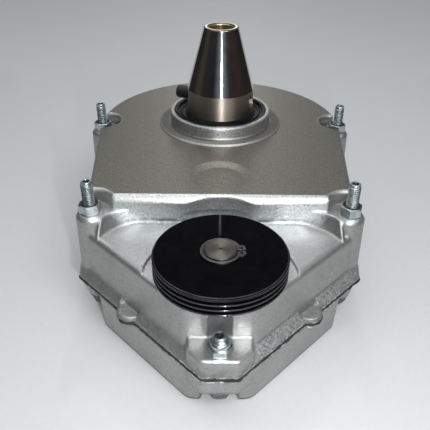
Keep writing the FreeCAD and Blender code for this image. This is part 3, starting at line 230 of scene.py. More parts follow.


# Mesh helpers, mostly through Blender's own operators

def start_clean():
    """Leaves edit mode and clears the selection."""
    if bpy.context.object and bpy.context.object.mode != "OBJECT":
        bpy.ops.object.mode_set(mode="OBJECT")
    bpy.ops.object.select_all(action="DESELECT")


def only(obj):
    """Selects one object and makes it the active one."""
    start_clean()
    obj.select_set(True)
    bpy.context.view_layer.objects.active = obj
    return obj


def new_piece(name):
    """Names the object that an operator has just made."""
    obj = bpy.context.object
    obj.name = name
    obj.data.name = name
    return obj


def drop(obj):
    bpy.data.objects.remove(obj, do_unlink=True)


def settle(obj):
    """Puts an object's place, turn and size into its mesh."""
    only(obj)
    bpy.ops.object.transform_apply(location=True, rotation=True, scale=True)
    return obj


def use_modifier(obj, kind, **settings):
    """Adds a modifier with these settings and applies it."""
    only(obj)
    modifier = obj.modifiers.new(kind.lower(), kind)
    for key, value in settings.items():
        setattr(modifier, key, value)
    bpy.ops.object.modifier_apply(modifier=modifier.name)
    return obj


def carve(obj, tool, operation):
    """Boolean of two pieces; the tool is used up."""
    use_modifier(obj, "BOOLEAN", object=tool, operation=operation, solver="EXACT")
    drop(tool)
    return obj


def leave_edit():
    bpy.ops.object.mode_set(mode="OBJECT")


def edit_all(obj):
    """Opens a mesh in edit mode with all of it selected."""
    only(obj)
    bpy.ops.object.mode_set(mode="EDIT")
    bpy.ops.mesh.select_all(action="SELECT")


def select_by(obj, domain, test):
    """Selects the faces or edges of a mesh in edit mode that pass a test."""
    only(obj)
    bpy.ops.object.mode_set(mode="EDIT")
    bpy.ops.mesh.select_mode(type={"polygons": "FACE", "edges": "EDGE"}[domain])
    bpy.ops.mesh.select_all(action="DESELECT")
    leave_edit()
    for item in getattr(obj.data, domain):
        item.select = test(item)
    bpy.ops.object.mode_set(mode="EDIT")


def outward(obj):
    """Merges vertices at one place and turns all faces outwards."""
    edit_all(obj)
    bpy.ops.mesh.remove_doubles(threshold=1e-6)
    bpy.ops.mesh.normals_make_consistent(inside=False)
    leave_edit()
    return obj


def close_holes(obj):
    """Fills each open end with a face."""
    edit_all(obj)
    bpy.ops.mesh.fill_holes(sides=0)
    bpy.ops.mesh.normals_make_consistent(inside=False)
    leave_edit()
    return obj


def smooth(obj, degrees):
    """Shades a mesh smooth, with sharp edges where faces turn by more than this angle."""
    only(obj)
    bpy.ops.object.shade_smooth_by_angle(angle=math.radians(degrees))
    return obj


def one_vertex(name, place):
    """Starts a mesh from a single vertex and stays in edit mode."""
    start_clean()
    bpy.ops.mesh.primitive_plane_add(size=MM, location=(0, 0, 0))
    obj = new_piece(name)
    bpy.ops.object.mode_set(mode="EDIT")
    bpy.ops.mesh.select_mode(type="VERT")
    bpy.ops.mesh.select_all(action="SELECT")
    bpy.ops.mesh.merge(type="CENTER")
    bpy.ops.transform.translate(value=place)
    return obj


def path_of(name, points):
    """Open line of vertices through (radius, height) corners, drawn by extruding one vertex."""
    r, z = points[0]
    obj = one_vertex(name, (r, 0, z))
    for (r0, z0), (r1, z1) in zip(points, points[1:]):
        bpy.ops.mesh.extrude_region_move(TRANSFORM_OT_translate={"value": (r1 - r0, 0, z1 - z0)})
    leave_edit()
    return obj


def lathe(name, points, steps):
    """Closed turned solid about the Z axis; the line starts and ends on the axis or on itself."""
    obj = path_of(name, points)
    edit_all(obj)
    bpy.ops.mesh.spin(steps=steps, angle=2 * math.pi, center=(0, 0, 0), axis=(0, 0, 1))
    leave_edit()
    return outward(obj)


def hex_bar(name, across_flats, low, high):
    """Upright hexagon on the Z axis."""
    start_clean()
    bpy.ops.mesh.primitive_cylinder_add(
        vertices=6, radius=across_flats / math.sqrt(3), depth=high - low, location=(0, 0, (low + high) / 2),
        rotation=(0, 0, math.radians(30.0)))
    return settle(new_piece(name))


def moved_copy(obj, name, x, y, turn_deg=0.0):
    """Copy of a model with its place and turn in the mesh."""
    copy = bpy.data.objects.new(name, obj.data.copy())
    copy.data.name = name
    bpy.context.collection.objects.link(copy)
    copy.data.transform(Matrix.Translation((x, y, 0)) @ Matrix.Rotation(math.radians(turn_deg), 4, "Z"))
    return copy


def weld(parts, name):
    """Joins finished shells into one piece."""
    start_clean()
    for part in parts:
        part.select_set(True)
    bpy.context.view_layer.objects.active = parts[0]
    bpy.ops.object.join()
    return new_piece(name)


# Material helpers

def shade(colour, factor):
    """Darker or lighter colour."""
    return tuple(min(1.0, c * factor) for c in colour)


class Finish:
    """Small builder for one procedural material."""

    def __init__(self, name, colour, metallic, roughness):
        self.material = bpy.data.materials.get(name) or bpy.data.materials.new(name)
        self.material.use_nodes = True
        self.tree = self.material.node_tree
        self.tree.nodes.clear()
        out = self.node("ShaderNodeOutputMaterial")
        self.shader = self.node("ShaderNodeBsdfPrincipled")
        self.link(self.shader.outputs["BSDF"], out.inputs["Surface"])
        self.shader.inputs["Base Color"].default_value = (*colour, 1.0)
        self.shader.inputs["Metallic"].default_value = metallic
        self.shader.inputs["Roughness"].default_value = roughness
        self.where = self.node("ShaderNodeTexCoord").outputs["Object"]

    def node(self, kind, **settings):
        item = self.tree.nodes.new(kind)
        for key, value in settings.items():
            setattr(item, key, value)
        return item

    def link(self, a, b):
        self.tree.links.new(a, b)

    def feed(self, item, inputs):
        """Links sockets to a node's inputs and sets the inputs that get plain values."""
        for key, value in inputs.items():
            if isinstance(value, bpy.types.NodeSocket):
                self.link(value, item.inputs[key])
            else:
                item.inputs[key].default_value = value

    def math(self, operation, *values):
        item = self.node("ShaderNodeMath", operation=operation)
        self.feed(item, dict(enumerate(values)))
        return item.outputs[0]

    def times(self, first, *others):
        for value in others:
            first = self.math("MULTIPLY", first, value)
        return first

    def mapped(self, value, low, high, to_low=0.0, to_high=1.0, kind="SMOOTHSTEP"):
        """Runs smoothly from one number to another while a value runs from low to high."""
        item = self.node("ShaderNodeMapRange", interpolation_type=kind)
        self.feed(item, {"Value": value, "From Min": low, "From Max": high})
        self.feed(item, {"To Min": to_low, "To Max": to_high})
        return item.outputs["Result"]

    def scaled(self, *values):
        """As mapped, in a straight line."""
        return self.mapped(*values, kind="LINEAR")

    def between(self, value, low, high, edge):
        """One between two values and nothing outside, with an edge this wide."""
        rise = self.mapped(value, low - edge, low + edge)
        return self.times(rise, self.mapped(value, high + edge, high - edge))

    def band(self, value, middle, inner, outer):
        """One within the inner distance of a middle value, falling to nothing at the outer distance."""
        away = self.math("ABSOLUTE", self.math("SUBTRACT", value, middle))
        return self.mapped(away, outer, inner)

    def noise(self, size, detail=3.0, roughness=0.55, where=None):
        """Noise whose blotches are about this many metres across."""
        item = self.node("ShaderNodeTexNoise")
        self.feed(item, {"Vector": where or self.where, "Scale": 1.0 / size})
        self.feed(item, {"Detail": detail, "Roughness": roughness})
        return item.outputs["Fac"]

    def grains(self, size):
        """Distance from the middle of the nearest of many scattered grains."""
        item = self.node("ShaderNodeTexVoronoi", feature="F1")
        self.feed(item, {"Vector": self.where, "Scale": 1.0 / size})
        return item.outputs["Distance"]

    def stretched(self, scale):
        """Place with each axis scaled, for noise that runs in lanes."""
        item = self.node("ShaderNodeMapping")
        self.feed(item, {"Vector": self.where, "Scale": scale})
        return item.outputs["Vector"]

    def axes(self):
        """Place along X, Y and Z."""
        item = self.node("ShaderNodeSeparateXYZ")
        self.link(self.where, item.inputs[0])
        return tuple(item.outputs)

    def radius_from(self, x, y):
        """Distance from a vertical axis."""
        item = self.node("ShaderNodeMapping")
        self.feed(item, {"Vector": self.where, "Location": (-x, -y, 0.0), "Scale": (1.0, 1.0, 0.0)})
        length = self.node("ShaderNodeVectorMath", operation="LENGTH")
        self.link(item.outputs["Vector"], length.inputs[0])
        return length.outputs["Value"]

    def ring_space(self, r, z):
        """Place that is the same all round an axis, so that noise in it makes rings."""
        item = self.node("ShaderNodeCombineXYZ")
        self.feed(item, {0: r, 1: z})
        return item.outputs[0]

    def surface_normal(self):
        return self.node("ShaderNodeNewGeometry").outputs["Normal"]

    def facing_up(self):
        """Upward part of the surface normal."""
        item = self.node("ShaderNodeSeparateXYZ")
        self.link(self.surface_normal(), item.inputs[0])
        return item.outputs["Z"]

    def blend(self, factor, a, b, mode="MIX"):
        """Mixes two colours, each a plain colour or a socket."""
        item = self.node("ShaderNodeMix", data_type="RGBA", blend_type=mode)
        self.feed(item, {0: factor})
        for key, value in ((6, a), (7, b)):
            self.feed(item, {key: value if isinstance(value, bpy.types.NodeSocket) else (*value, 1.0)})
        return item.outputs[2]

    def mottled(self, value, low, high, colour, dark, light):
        """Runs from a darker to a lighter shade of a colour while a value runs from low to high."""
        return self.blend(self.mapped(value, low, high), shade(colour, dark), shade(colour, light))

    def number(self, factor, a, b):
        """Mixes two numbers."""
        item = self.node("ShaderNodeMix", data_type="FLOAT")
        self.feed(item, {0: factor, 2: a, 3: b})
        return item.outputs[0]

    def direction(self, factor, a, b):
        """Mixes two normals."""
        item = self.node("ShaderNodeMix", data_type="VECTOR")
        self.feed(item, {0: factor, 4: a, 5: b})
        return item.outputs[1]

    def bump(self, socket, distance, strength=1.0, below=None):
        """Normal of a relief this deep, over another normal if there is one."""
        item = self.node("ShaderNodeBump")
        self.feed(item, {"Strength": strength, "Distance": distance, "Height": socket})
        if below:
            self.link(below, item.inputs["Normal"])
        return item.outputs["Normal"]

    def soft_edges(self, radius):
        """Normals that run round each edge with this radius."""
        item = self.node("ShaderNodeBevel", samples=6)
        item.inputs["Radius"].default_value = radius
        return item.outputs["Normal"]

    def turned_grain(self):
        """Stretches the gloss across the rings that a lathe leaves."""
        tangent = self.node("ShaderNodeTangent", direction_type="RADIAL", axis="Z")
        self.link(tangent.outputs[0], self.shader.inputs["Tangent"])
        self.shader.inputs["Anisotropic Rotation"].default_value = 0.25

    def colour(self, socket):
        self.link(socket, self.shader.inputs["Base Color"])

    def rough(self, socket):
        self.link(socket, self.shader.inputs["Roughness"])

    def normal(self, socket):
        self.link(socket, self.shader.inputs["Normal"])


def dress(obj, *finishes):
    """Gives a mesh these finishes, one for each material index."""
    obj.data.materials.clear()
    for finish in finishes:
        obj.data.materials.append(finish.material)
    return obj


def wear(node_name, finish):
    """Puts a finish on a CAD node."""
    dress(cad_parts[node_name], finish)


def cast_finish(colours):
    """Die-cast skin with a milled top face, dark pits and a rough, grimy parting edge; painted shade darkens
    the walls, the foot and the crease under the step, painted light brightens the step wall, and painted
    glints, highlights and shade sit on the ledge and the flange edges.
    """
    f = Finish("cast_alloy", colours.cast, 0.92, 0.40)
    x, y, z = f.axes()
    up = f.facing_up()

    # Where the castings are milled, and the wall of the step
    from_output = f.radius_from(*OUTPUT_AXIS)
    disc = f.times(f.mapped(f.radius_from(*INTER_AXIS), DISC_RADIUS + 0.2 * MM, DISC_RADIUS - 0.1 * MM),
                   f.between(z, -3.2 * MM, 0.2 * MM, 0.1 * MM))
    ring = f.times(f.mapped(from_output, COLLAR_RADIUS + 0.2 * MM, COLLAR_RADIUS - 0.2 * MM),
                   f.between(z, -0.2 * MM, 2.0 * MM, 0.1 * MM))
    level = f.math("MAXIMUM", f.between(z, -0.2 * MM, 0.2 * MM, 0.1 * MM), ring)
    milled = f.math("MAXIMUM", f.times(level, f.mapped(up, 0.97, 0.995)), disc)
    step = f.times(f.between(x, -STEP_SIDE, STEP_SIDE, 6 * MM), f.between(y, STEP_FRONT, STEP_BACK, MM))

    # Skin: clouds, sand that shows most on the step and the collar, and scattered pits
    sand = f.noise(1.35 * MM, 4.0, 0.70)
    fine = f.noise(0.4 * MM, 2.0, 0.6)
    skin = f.noise(4.5 * MM, 4.0, 0.6)
    cloud = f.noise(24 * MM, 4.0, 0.55)
    cast = f.mottled(cloud, 0.3, 0.7, colours.cast, 0.92, 1.06)
    cast = f.blend(f.times(f.mapped(skin, 0.45, 0.75), 0.4), cast, shade(colours.cast, 0.80))
    amount = f.scaled(f.math("MAXIMUM", step, f.mapped(z, 0.5 * MM, 1.5 * MM)), 0.0, 1.0, 0.40, 1.0)
    cast = f.blend(f.times(f.mapped(sand, 0.52, 0.68), amount), cast, shade(colours.cast, 1.45))
    cast = f.blend(f.times(f.mapped(sand, 0.46, 0.32), amount), cast, shade(colours.cast, 0.50))
    sparse = f.mapped(f.noise(15 * MM, 2.0, 0.5), 0.58, 0.68)
    pits = f.times(f.mapped(f.grains(3.6 * MM), 0.17, 0.08), sparse)
    cast = f.blend(f.times(pits, 0.8), cast, PIT_COLOUR)

    # Grime along the parting line; painted shade on the walls, a painted contact shadow along the foot,
    # painted light on the step wall and painted shade in the crease under the step
    seam = f.times(f.mapped(z, -44 * MM, -55 * MM), f.mapped(z, -62 * MM, -58.5 * MM))
    grime = f.times(seam, f.mapped(f.noise(5 * MM, 4.0, 0.65), 0.30, 0.66))
    cast = f.blend(f.times(grime, 0.5), cast, shade(colours.cast, 0.36))
    # Painted shade: the walls below the top face are darkened
    sides = f.times(f.mapped(up, 0.55, 0.25), f.mapped(z, -1.0 * MM, -3.0 * MM),
                    f.math("SUBTRACT", 1.0, step))
    cast = f.blend(sides, cast, SIDE_SHADE_TINT, "MULTIPLY")
    # Painted light: the wall of the step is lightened
    cast = f.blend(step, cast, STEP_LIGHT_TINT, "MULTIPLY")
    # Painted contact shadow: a dark line along the bottom edge of the lower casting
    foot = f.mapped(z, -85.5 * MM, -86.8 * MM)
    cast = f.blend(f.times(foot, 0.8), cast, shade(colours.cast, 0.10))
    # Painted shade in the crease where the step wall meets the shelf
    sill = f.times(step, f.between(z, *SILL, 1.2 * MM), f.mapped(y, -131.5 * MM, -130.0 * MM))
    sill_shade = f.times(sill, f.mapped(f.noise(3.5 * MM, 4.0, 0.65), 0.30, 0.62))
    cast = f.blend(f.times(sill_shade, 0.75), cast, SILL_SHADE_COLOUR)

    # Coarse ledge, painted with glints on its high spots and shade in its low spots, and bright burrs with a
    # painted highlight along the edges above and below the gasket
    coarse = f.noise(1.5 * MM, 5.0, 0.75)
    ledge = f.times(f.between(z, *LEDGE, 0.8 * MM), f.mapped(x, 19 * MM, 24 * MM), f.mapped(up, 0.95, 0.85))
    cast = f.blend(f.times(ledge, f.mapped(coarse, 0.60, 0.68)), cast, shade(colours.cast, 1.7))
    cast = f.blend(f.times(ledge, f.mapped(coarse, 0.52, 0.38)), cast, shade(colours.cast, 0.35))
    lips = f.math("MAXIMUM", *(f.between(z, *lip, 0.15 * MM) for lip in LIPS))
    ragged = f.mapped(f.noise(2.2 * MM, 4.0, 0.65), 0.48, 0.60)
    # The burrs are painted brighter as a highlight along the flange edges
    burr_highlight = f.times(lips, ragged, f.mapped(x, -40 * MM, -15 * MM))
    cast = f.blend(burr_highlight, cast, shade(colours.cast, 1.6))

    # Milled face: lanes and scratches across the object
    lanes = f.noise(1.1 * MM, 3.0, 0.6, f.stretched((0.16, 1.5, 1.0)))
    scratch = f.noise(2.2 * MM, 2.0, 0.5, f.stretched((0.05, 1.6, 1.0)))
    face = f.mottled(sand, 0.36, 0.64, colours.milled, 0.66, 1.30)
    face = f.blend(f.times(f.mapped(lanes, 0.46, 0.62), 0.45), face, shade(colours.milled, 1.42))
    face = f.blend(f.mapped(fine, 0.56, 0.76), face, shade(colours.milled, 1.55))
    face = f.blend(f.times(f.mapped(cloud, 0.3, 0.7), 0.35), face, shade(colours.milled, 1.12))
    face = f.blend(f.mapped(scratch, 0.70, 0.76), face, shade(colours.milled, 1.5))
    f.colour(f.blend(milled, cast, face))

    cast_rough = f.number(grime, f.scaled(skin, 0.25, 0.75, 0.33, 0.47), 0.62)
    f.rough(f.number(milled, cast_rough, f.scaled(fine, 0.25, 0.75, 0.38, 0.50)))

    cast_bump = f.bump(skin, 0.25 * MM, 0.22, f.soft_edges(3.0 * MM))
    cast_bump = f.bump(sand, 0.20 * MM, 0.5, cast_bump)
    cast_bump = f.bump(f.times(ledge, coarse), 0.9 * MM, 0.8, cast_bump)
    cast_bump = f.bump(f.math("ADD", pits, f.times(grime, skin)), -0.5 * MM, 0.5, cast_bump)
    shallow = f.node("ShaderNodeVectorMath", operation="NORMALIZE")
    f.link(f.direction(f.times(disc, 0.6), f.soft_edges(0.7 * MM), (0.0, 0.0, 1.0)), shallow.inputs[0])
    dome = f.mapped(from_output, *COLLAR_DOME, 1.0, 0.0)
    face_bump = f.bump(dome, 2.2 * MM, 1.0, shallow.outputs[0])
    face_bump = f.bump(sand, 0.05 * MM, 0.5, face_bump)
    f.normal(f.direction(milled, cast_bump, face_bump))
    return f


def zinc_finish(colours):
    """Blue-bright zinc over turned and forged steel."""
    f = Finish("zinc_steel", colours.zinc, 1.0, 0.30)
    cloud = f.noise(3.0 * MM, 4.0, 0.65)
    fine = f.noise(0.45 * MM, 2.0, 0.5)
    tone = f.mottled(cloud, 0.3, 0.7, colours.zinc, 0.78, 1.12)
    f.colour(f.blend(f.mapped(f.noise(1.4 * MM, 3.0, 0.6), 0.60, 0.74), tone, shade(colours.zinc, 0.45)))
    f.rough(f.scaled(cloud, 0.25, 0.75, 0.22, 0.40))
    f.normal(f.bump(fine, 0.025 * MM, 0.45, f.soft_edges(0.25 * MM)))
    return f


def thread_shade_finish(colours):
    """Painted shadow in the root of a thread, in the hollow of a bolt end and in the countersunk bore of a
    nut.
    """
    f = Finish("thread_root", shade(colours.zinc, 0.05), 0.6, 0.45)
    grain = f.noise(0.8 * MM, 3.0, 0.6)
    f.colour(f.mottled(grain, 0.3, 0.7, colours.zinc, 0.02, 0.09))
    f.rough(f.scaled(grain, 0.25, 0.75, 0.38, 0.62))
    return f


def shaded_zinc_finish(colours):
    """Zinc of the bolt heads under the housing, painted dark as shade."""
    f = Finish("dull_zinc", shade(colours.zinc, 0.25), 0.7, 0.5)
    grain = f.noise(1.2 * MM, 4.0, 0.6)
    f.colour(f.mottled(grain, 0.3, 0.7, colours.zinc, 0.14, 0.34))
    f.rough(f.scaled(grain, 0.25, 0.75, 0.42, 0.60))
    return f


def polished_finish(colours):
    """Output shaft: polished taper and bore over a satin ground journal."""
    f = Finish("polished_steel", colours.polished, 1.0, 0.10)
    z = f.axes()[2]
    taper = f.mapped(z, TAPER_FOOT - 0.1 * MM, TAPER_FOOT + 0.1 * MM)
    bore = f.times(f.mapped(f.radius_from(*OUTPUT_AXIS), BORE_RADIUS + 0.3 * MM, BORE_RADIUS),
                   f.mapped(z, BORE_FLOOR, BORE_FLOOR + MM))
    rings = f.noise(0.45 * MM, 3.0, 0.6, f.stretched((0.03, 0.03, 3.0)))
    haze = f.noise(6 * MM, 3.0, 0.55)
    marks = f.mapped(f.noise(0.9 * MM, 3.0, 0.6), 0.66, 0.74)
    ground = f.mottled(rings, 0.3, 0.7, colours.ground, 0.92, 1.08)
    bright = f.blend(bore, f.mottled(haze, 0.3, 0.7, colours.polished, 0.93, 1.05), colours.bore)
    # Painted shade: the top end is darkened in place of the pale reflection of the room
    bright = f.blend(f.mapped(z, SHAFT_TOP - 0.5 * MM, SHAFT_TOP), bright, shade(colours.bore, 0.26))
    f.colour(f.blend(taper, ground, bright))
    bright_rough = f.number(bore, f.scaled(haze, 0.3, 0.7, 0.10, 0.14), 0.26)
    bright_rough = f.number(f.times(marks, 0.5), bright_rough, 0.35)
    f.rough(f.number(taper, f.scaled(rings, 0.25, 0.75, 0.40, 0.46), bright_rough))
    f.shader.inputs["Anisotropic"].default_value = 0.88
    f.turned_grain()
    f.normal(f.bump(rings, 0.004 * MM, 0.4, f.soft_edges(0.5 * MM)))
    return f


def turned_finish(name, colour, axis, roughness, spread=0.12, spot=0.0):
    """Turned steel: fine rings round an axis, with a dark centre mark where the shaft end shows one."""
    f = Finish(name, colour, 1.0, roughness)
    r = f.radius_from(*axis)
    rings = f.noise(0.5 * MM, 2.0, 0.5, f.ring_space(r, f.axes()[2]))
    haze = f.noise(6 * MM, 3.0, 0.5)
    tone = f.mottled(rings, 0.3, 0.7, colour, 0.90, 1.10)
    tone = f.blend(f.mapped(haze, 0.35, 0.7), tone, shade(colour, 1.12))
    if spot:
        tone = f.blend(f.mapped(r, spot * 1.25, spot * 0.8), tone, shade(colour, 0.12))
    f.colour(tone)
    f.rough(f.scaled(haze, 0.3, 0.7, roughness - spread / 2, roughness + spread / 2))
    f.shader.inputs["Anisotropic"].default_value = 0.6
    f.turned_grain()
    f.normal(f.bump(rings, 0.004 * MM, 0.4, f.soft_edges(0.3 * MM)))
    return f


def pulley_finish(colours):
    """Glossy black on turned steel, worn to bare metal on the edges of the rim and the grooves."""
    f = Finish("black_pulley", colours.black, 0.0, 0.30)
    r = f.radius_from(*INPUT_AXIS)
    rings = f.noise(0.5 * MM, 3.0, 0.6, f.ring_space(r, f.axes()[2]))
    haze = f.noise(9 * MM, 4.0, 0.6)
    patch = f.mapped(f.noise(14 * MM, 2.0, 0.5), 0.25, 0.65, 0.45, 1.0)
    edges = f.soft_edges(1.0 * MM)
    turn = f.node("ShaderNodeVectorMath", operation="DOT_PRODUCT")
    f.feed(turn, {0: edges, 1: f.surface_normal()})
    inner, outer = PULLEY_RIM
    worn = f.times(f.mapped(turn.outputs["Value"], 0.985, 0.90), f.mapped(r, inner, outer), patch)
    f.colour(f.blend(worn, f.mottled(haze, 0.3, 0.7, colours.black, 0.7, 1.3), colours.worn))
    f.link(f.scaled(worn, 0.0, 1.0, 0.0, 0.85), f.shader.inputs["Metallic"])
    f.rough(f.number(worn, f.scaled(haze, 0.25, 0.75, 0.032, 0.040), 0.26))
    f.shader.inputs["Specular IOR Level"].default_value = 0.03
    f.shader.inputs["Anisotropic"].default_value = 0.6
    f.turned_grain()
    f.normal(f.bump(f.times(rings, f.mapped(r, outer, inner)), 0.003 * MM, 0.8, edges))
    return f


def black_pin_finish(colours):
    """Dull black oxide."""
    f = Finish("black_pin", shade(colours.black, 1.6), 0.0, 0.46)
    grain = f.noise(0.6 * MM, 3.0, 0.6)
    f.colour(f.mottled(grain, 0.3, 0.75, colours.black, 1.2, 2.8))
    f.rough(f.scaled(grain, 0.25, 0.75, 0.38, 0.58))
    f.normal(f.bump(grain, 0.05 * MM, 0.5))
    return f


def rubber_finish(colours):
    """Black rubber under a film of oil."""
    f = Finish("seal_rubber", colours.rubber, 0.0, 0.26)
    f.shader.inputs["Specular IOR Level"].default_value = 0.07
    grain = f.noise(0.35 * MM, 2.0, 0.5)
    film = f.noise(8 * MM, 3.0, 0.6)
    f.colour(f.mottled(film, 0.3, 0.7, colours.rubber, 1.0, 2.2))
    f.rough(f.scaled(film, 0.3, 0.7, 0.20, 0.32))
    f.normal(f.bump(grain, 0.02 * MM, 0.3))
    return f


def gasket_finish(colours):
    """Dark fibre sheet."""
    f = Finish("gasket_sheet", colours.gasket, 0.0, 0.8)
    fibre = f.noise(0.9 * MM, 4.0, 0.65)
    f.colour(f.mottled(fibre, 0.35, 0.7, colours.gasket, 0.6, 2.6))
    f.rough(f.scaled(fibre, 0.25, 0.75, 0.6, 0.9))
    f.normal(f.bump(fibre, 0.15 * MM, 0.6))
    return f


# Fastener shapes

def threaded_bolt(name, sizes, colours, low_z, nut_top, tip_z):
    """One flanged hex bolt on the Z axis with a helical thread at its free end."""
    head_z = low_z + HEAD_HEIGHT
    thread_low = nut_top - THREAD_IN_NUT
    r = sizes.thread_radius
    p = sizes.thread_pitch
    root = r - sizes.thread_depth
    start = thread_low - THREAD_LEAD * p
    thread = path_of(name, [(r if out else root, start + p * turn) for out, turn in THREAD_RIDGE])
    use_modifier(thread, "SCREW", angle=2 * math.pi, screw_offset=p, iterations=int((tip_z - start) / p) + 3,
                 axis="Z", steps=sizes.turn_steps, render_steps=sizes.turn_steps)
    outward(thread)
    close_holes(thread)
    tip = sizes.tip_radius
    plain = tip_z - sizes.tip_length
    blank = lathe("blank", [
        (0.0, thread_low), (r * 1.2, thread_low), (r * 1.2, plain - 0.9 * MM), (tip, plain),
        (tip, tip_z - 0.6 * MM), (tip - 0.2 * MM, tip_z - 0.2 * MM), (tip - 0.5 * MM, tip_z),
        (0.0, tip_z)], 48)
    carve(thread, blank, "INTERSECT")
    cup = sizes.tip_cup
    hollow = lathe("cup", [
        (0.0, tip_z - 1.5 * MM), (cup * 0.78, tip_z - 1.3 * MM), (cup, tip_z - 0.25 * MM),
        (cup * 1.1, tip_z + 0.5 * MM), (0.0, tip_z + 0.5 * MM)], 32)
    carve(thread, hollow, "DIFFERENCE")
    dress(thread, zinc_finish(colours), thread_shade_finish(colours))
    # Faces in the thread root and in the hollow of the end get the painted shadow
    for face in thread.data.polygons:
        out = face.center.xy.length
        in_root = face.center.z < plain - 0.5 * MM and out < root + 0.38 * sizes.thread_depth
        in_cup = plain < face.center.z < tip_z - 0.1 * MM and out < cup * 0.97
        face.material_index = 1 if in_root or in_cup else 0
    flange_low = head_z - FLANGE_HEIGHT
    head_low = head_z - HEAD_HEIGHT
    flat = sizes.across_flats / 2
    shank = lathe("shank", [
        (0.0, flange_low - 0.4 * MM), (flat, flange_low - 0.2 * MM),
        (FLANGE_RADIUS - 0.3 * MM, head_z - 1.2 * MM), (FLANGE_RADIUS, head_z - 0.8 * MM),
        (FLANGE_RADIUS, head_z - 0.2 * MM), (FLANGE_RADIUS - 0.2 * MM, head_z),
        (SHANK_RADIUS, head_z), (SHANK_RADIUS, thread_low), (0.0, thread_low)], 48)
    head = hex_bar("head", sizes.across_flats, head_low, flange_low)
    trim = lathe("trim", [
        (0.0, head_low), (flat * 0.93, head_low), (flat * 1.17, head_low + 1.1 * MM),
        (flat * 1.17, flange_low), (0.0, flange_low)], 48)
    carve(head, trim, "INTERSECT")
    # The head and shank under the housing get the painted shade
    head_shade = shaded_zinc_finish(colours)
    return smooth(weld([thread, dress(shank, head_shade), dress(head, head_shade)], name), 30.0)


def chamfered_hex(name, sizes, seat_z, top_z, drop_z, top_share):
    """Hexagon of a nut, chamfered below and, over this height, above to a share of its flats."""
    flat = sizes.across_flats / 2
    nut = hex_bar(name, sizes.across_flats, seat_z, top_z)
    trim = lathe("trim", [
        (0.0, seat_z), (flat * 0.97, seat_z), (flat * 1.16, seat_z + 0.75 * MM),
        (flat * 1.16, top_z - drop_z), (flat * top_share, top_z), (0.0, top_z)], 64)
    return carve(nut, trim, "INTERSECT")


def plain_nut(name, sizes, colours, seat_z, height):
    """Hex nut with a countersunk bore."""
    top = seat_z + height
    nut = chamfered_hex(name, sizes, seat_z, top, 0.9 * MM, 0.94)
    bore = sizes.thread_radius
    hole = lathe("bore", [
        (0.0, seat_z - MM), (bore, seat_z - MM), (bore, top - 0.5 * MM),
        (bore + 1.1 * MM, top + 0.6 * MM), (0.0, top + 0.6 * MM)], 48)
    carve(nut, hole, "DIFFERENCE")
    dress(nut, zinc_finish(colours), thread_shade_finish(colours))
    # The countersunk bore gets the painted shadow
    for face in nut.data.polygons:
        face.material_index = 1 if face.center.xy.length < bore + 1.0 * MM else 0
    return smooth(nut, 30.0)


def collar_nut(name, sizes, colours, seat_z, top_z):
    """Lock nut: chamfered hexagon under a round stepped collar."""
    flat = sizes.across_flats / 2
    hex_top = seat_z + LOCK_NUT_HEX
    nut = chamfered_hex(name, sizes, seat_z, hex_top, 1.5 * MM, 0.93)
    bore = sizes.thread_radius
    ring = lathe("collar", [
        (bore, hex_top - 0.6 * MM), (flat * 0.90, hex_top - 0.6 * MM), (flat * 0.90, top_z - 1.6 * MM),
        (flat * 0.875, top_z - 0.95 * MM), (flat * 0.82, top_z - 0.45 * MM), (flat * 0.75, top_z - 0.1 * MM),
        (flat * 0.70, top_z), (bore + 0.35 * MM, top_z - 0.05 * MM), (bore, top_z - 0.4 * MM),
        (bore, hex_top - 0.6 * MM)], 64)
    hole = lathe("bore", [
        (0.0, seat_z - MM), (bore, seat_z - MM), (bore, hex_top + MM), (0.0, hex_top + MM)], 48)
    carve(nut, hole, "DIFFERENCE")
    return dress(smooth(weld([nut, ring], name), 30.0), zinc_finish(colours))


def fit_fastener(obj, node):
    """Rides a finished fastener on the housing in place of its plain CAD node."""
    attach(obj, "housing")
    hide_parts(node)


class REDUCER_OT_corner_bolts(Operator):
    """Models one threaded bolt and copies it to the four corners of the housing"""
    bl_idname = "reducer.corner_bolts"
    bl_label = "Corner bolts"

    def execute(self, context):
        sizes = context.scene.reducer_fasteners
        colours = context.scene.reducer_colours
        low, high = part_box("corner_bolts")
        nut_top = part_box("corner_nuts")[1].z
        model = threaded_bolt("bolt_model", sizes, colours, low.z, nut_top, high.z)
        for i, (x, y) in enumerate(CORNERS):
            bolt = moved_copy(model, "corner_bolt_%d" % (i + 1), x, y, BOLT_TURN * i)
            fit_fastener(bolt, "corner_bolts")
        drop(model)
        return {"FINISHED"}


class REDUCER_OT_corner_nuts(Operator):
    """Models one chamfered nut and copies it onto the four corner bolts"""
    bl_idname = "reducer.corner_nuts"
    bl_label = "Corner nuts"

    def execute(self, context):
        sizes = context.scene.reducer_fasteners
        colours = context.scene.reducer_colours
        low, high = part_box("corner_nuts")
        model = plain_nut("nut_model", sizes, colours, low.z, high.z - low.z)
        for i, (x, y) in enumerate(CORNERS):
            nut = moved_copy(model, "corner_nut_%d" % (i + 1), x, y, NUT_TURNS[i])
            fit_fastener(nut, "corner_nuts")
        drop(model)
        return {"FINISHED"}


class REDUCER_OT_nose_bolt(Operator):
    """Models the bolt at the nose and its lock nut"""
    bl_idname = "reducer.nose_bolt"
    bl_label = "Nose bolt and lock nut"

    def execute(self, context):
        sizes = context.scene.reducer_fasteners
        colours = context.scene.reducer_colours
        low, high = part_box("nose_bolt")
        nut_low, nut_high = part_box("nose_lock_nut")
        model = threaded_bolt("bolt_model", sizes, colours, low.z, nut_high.z, high.z)
        fit_fastener(moved_copy(model, "nose_bolt_threaded", *NOSE), "nose_bolt")
        drop(model)
        model = collar_nut("nut_model", sizes, colours, nut_low.z, nut_high.z)
        fit_fastener(moved_copy(model, "nose_nut_collared", *NOSE), "nose_lock_nut")
        drop(model)
        return {"FINISHED"}


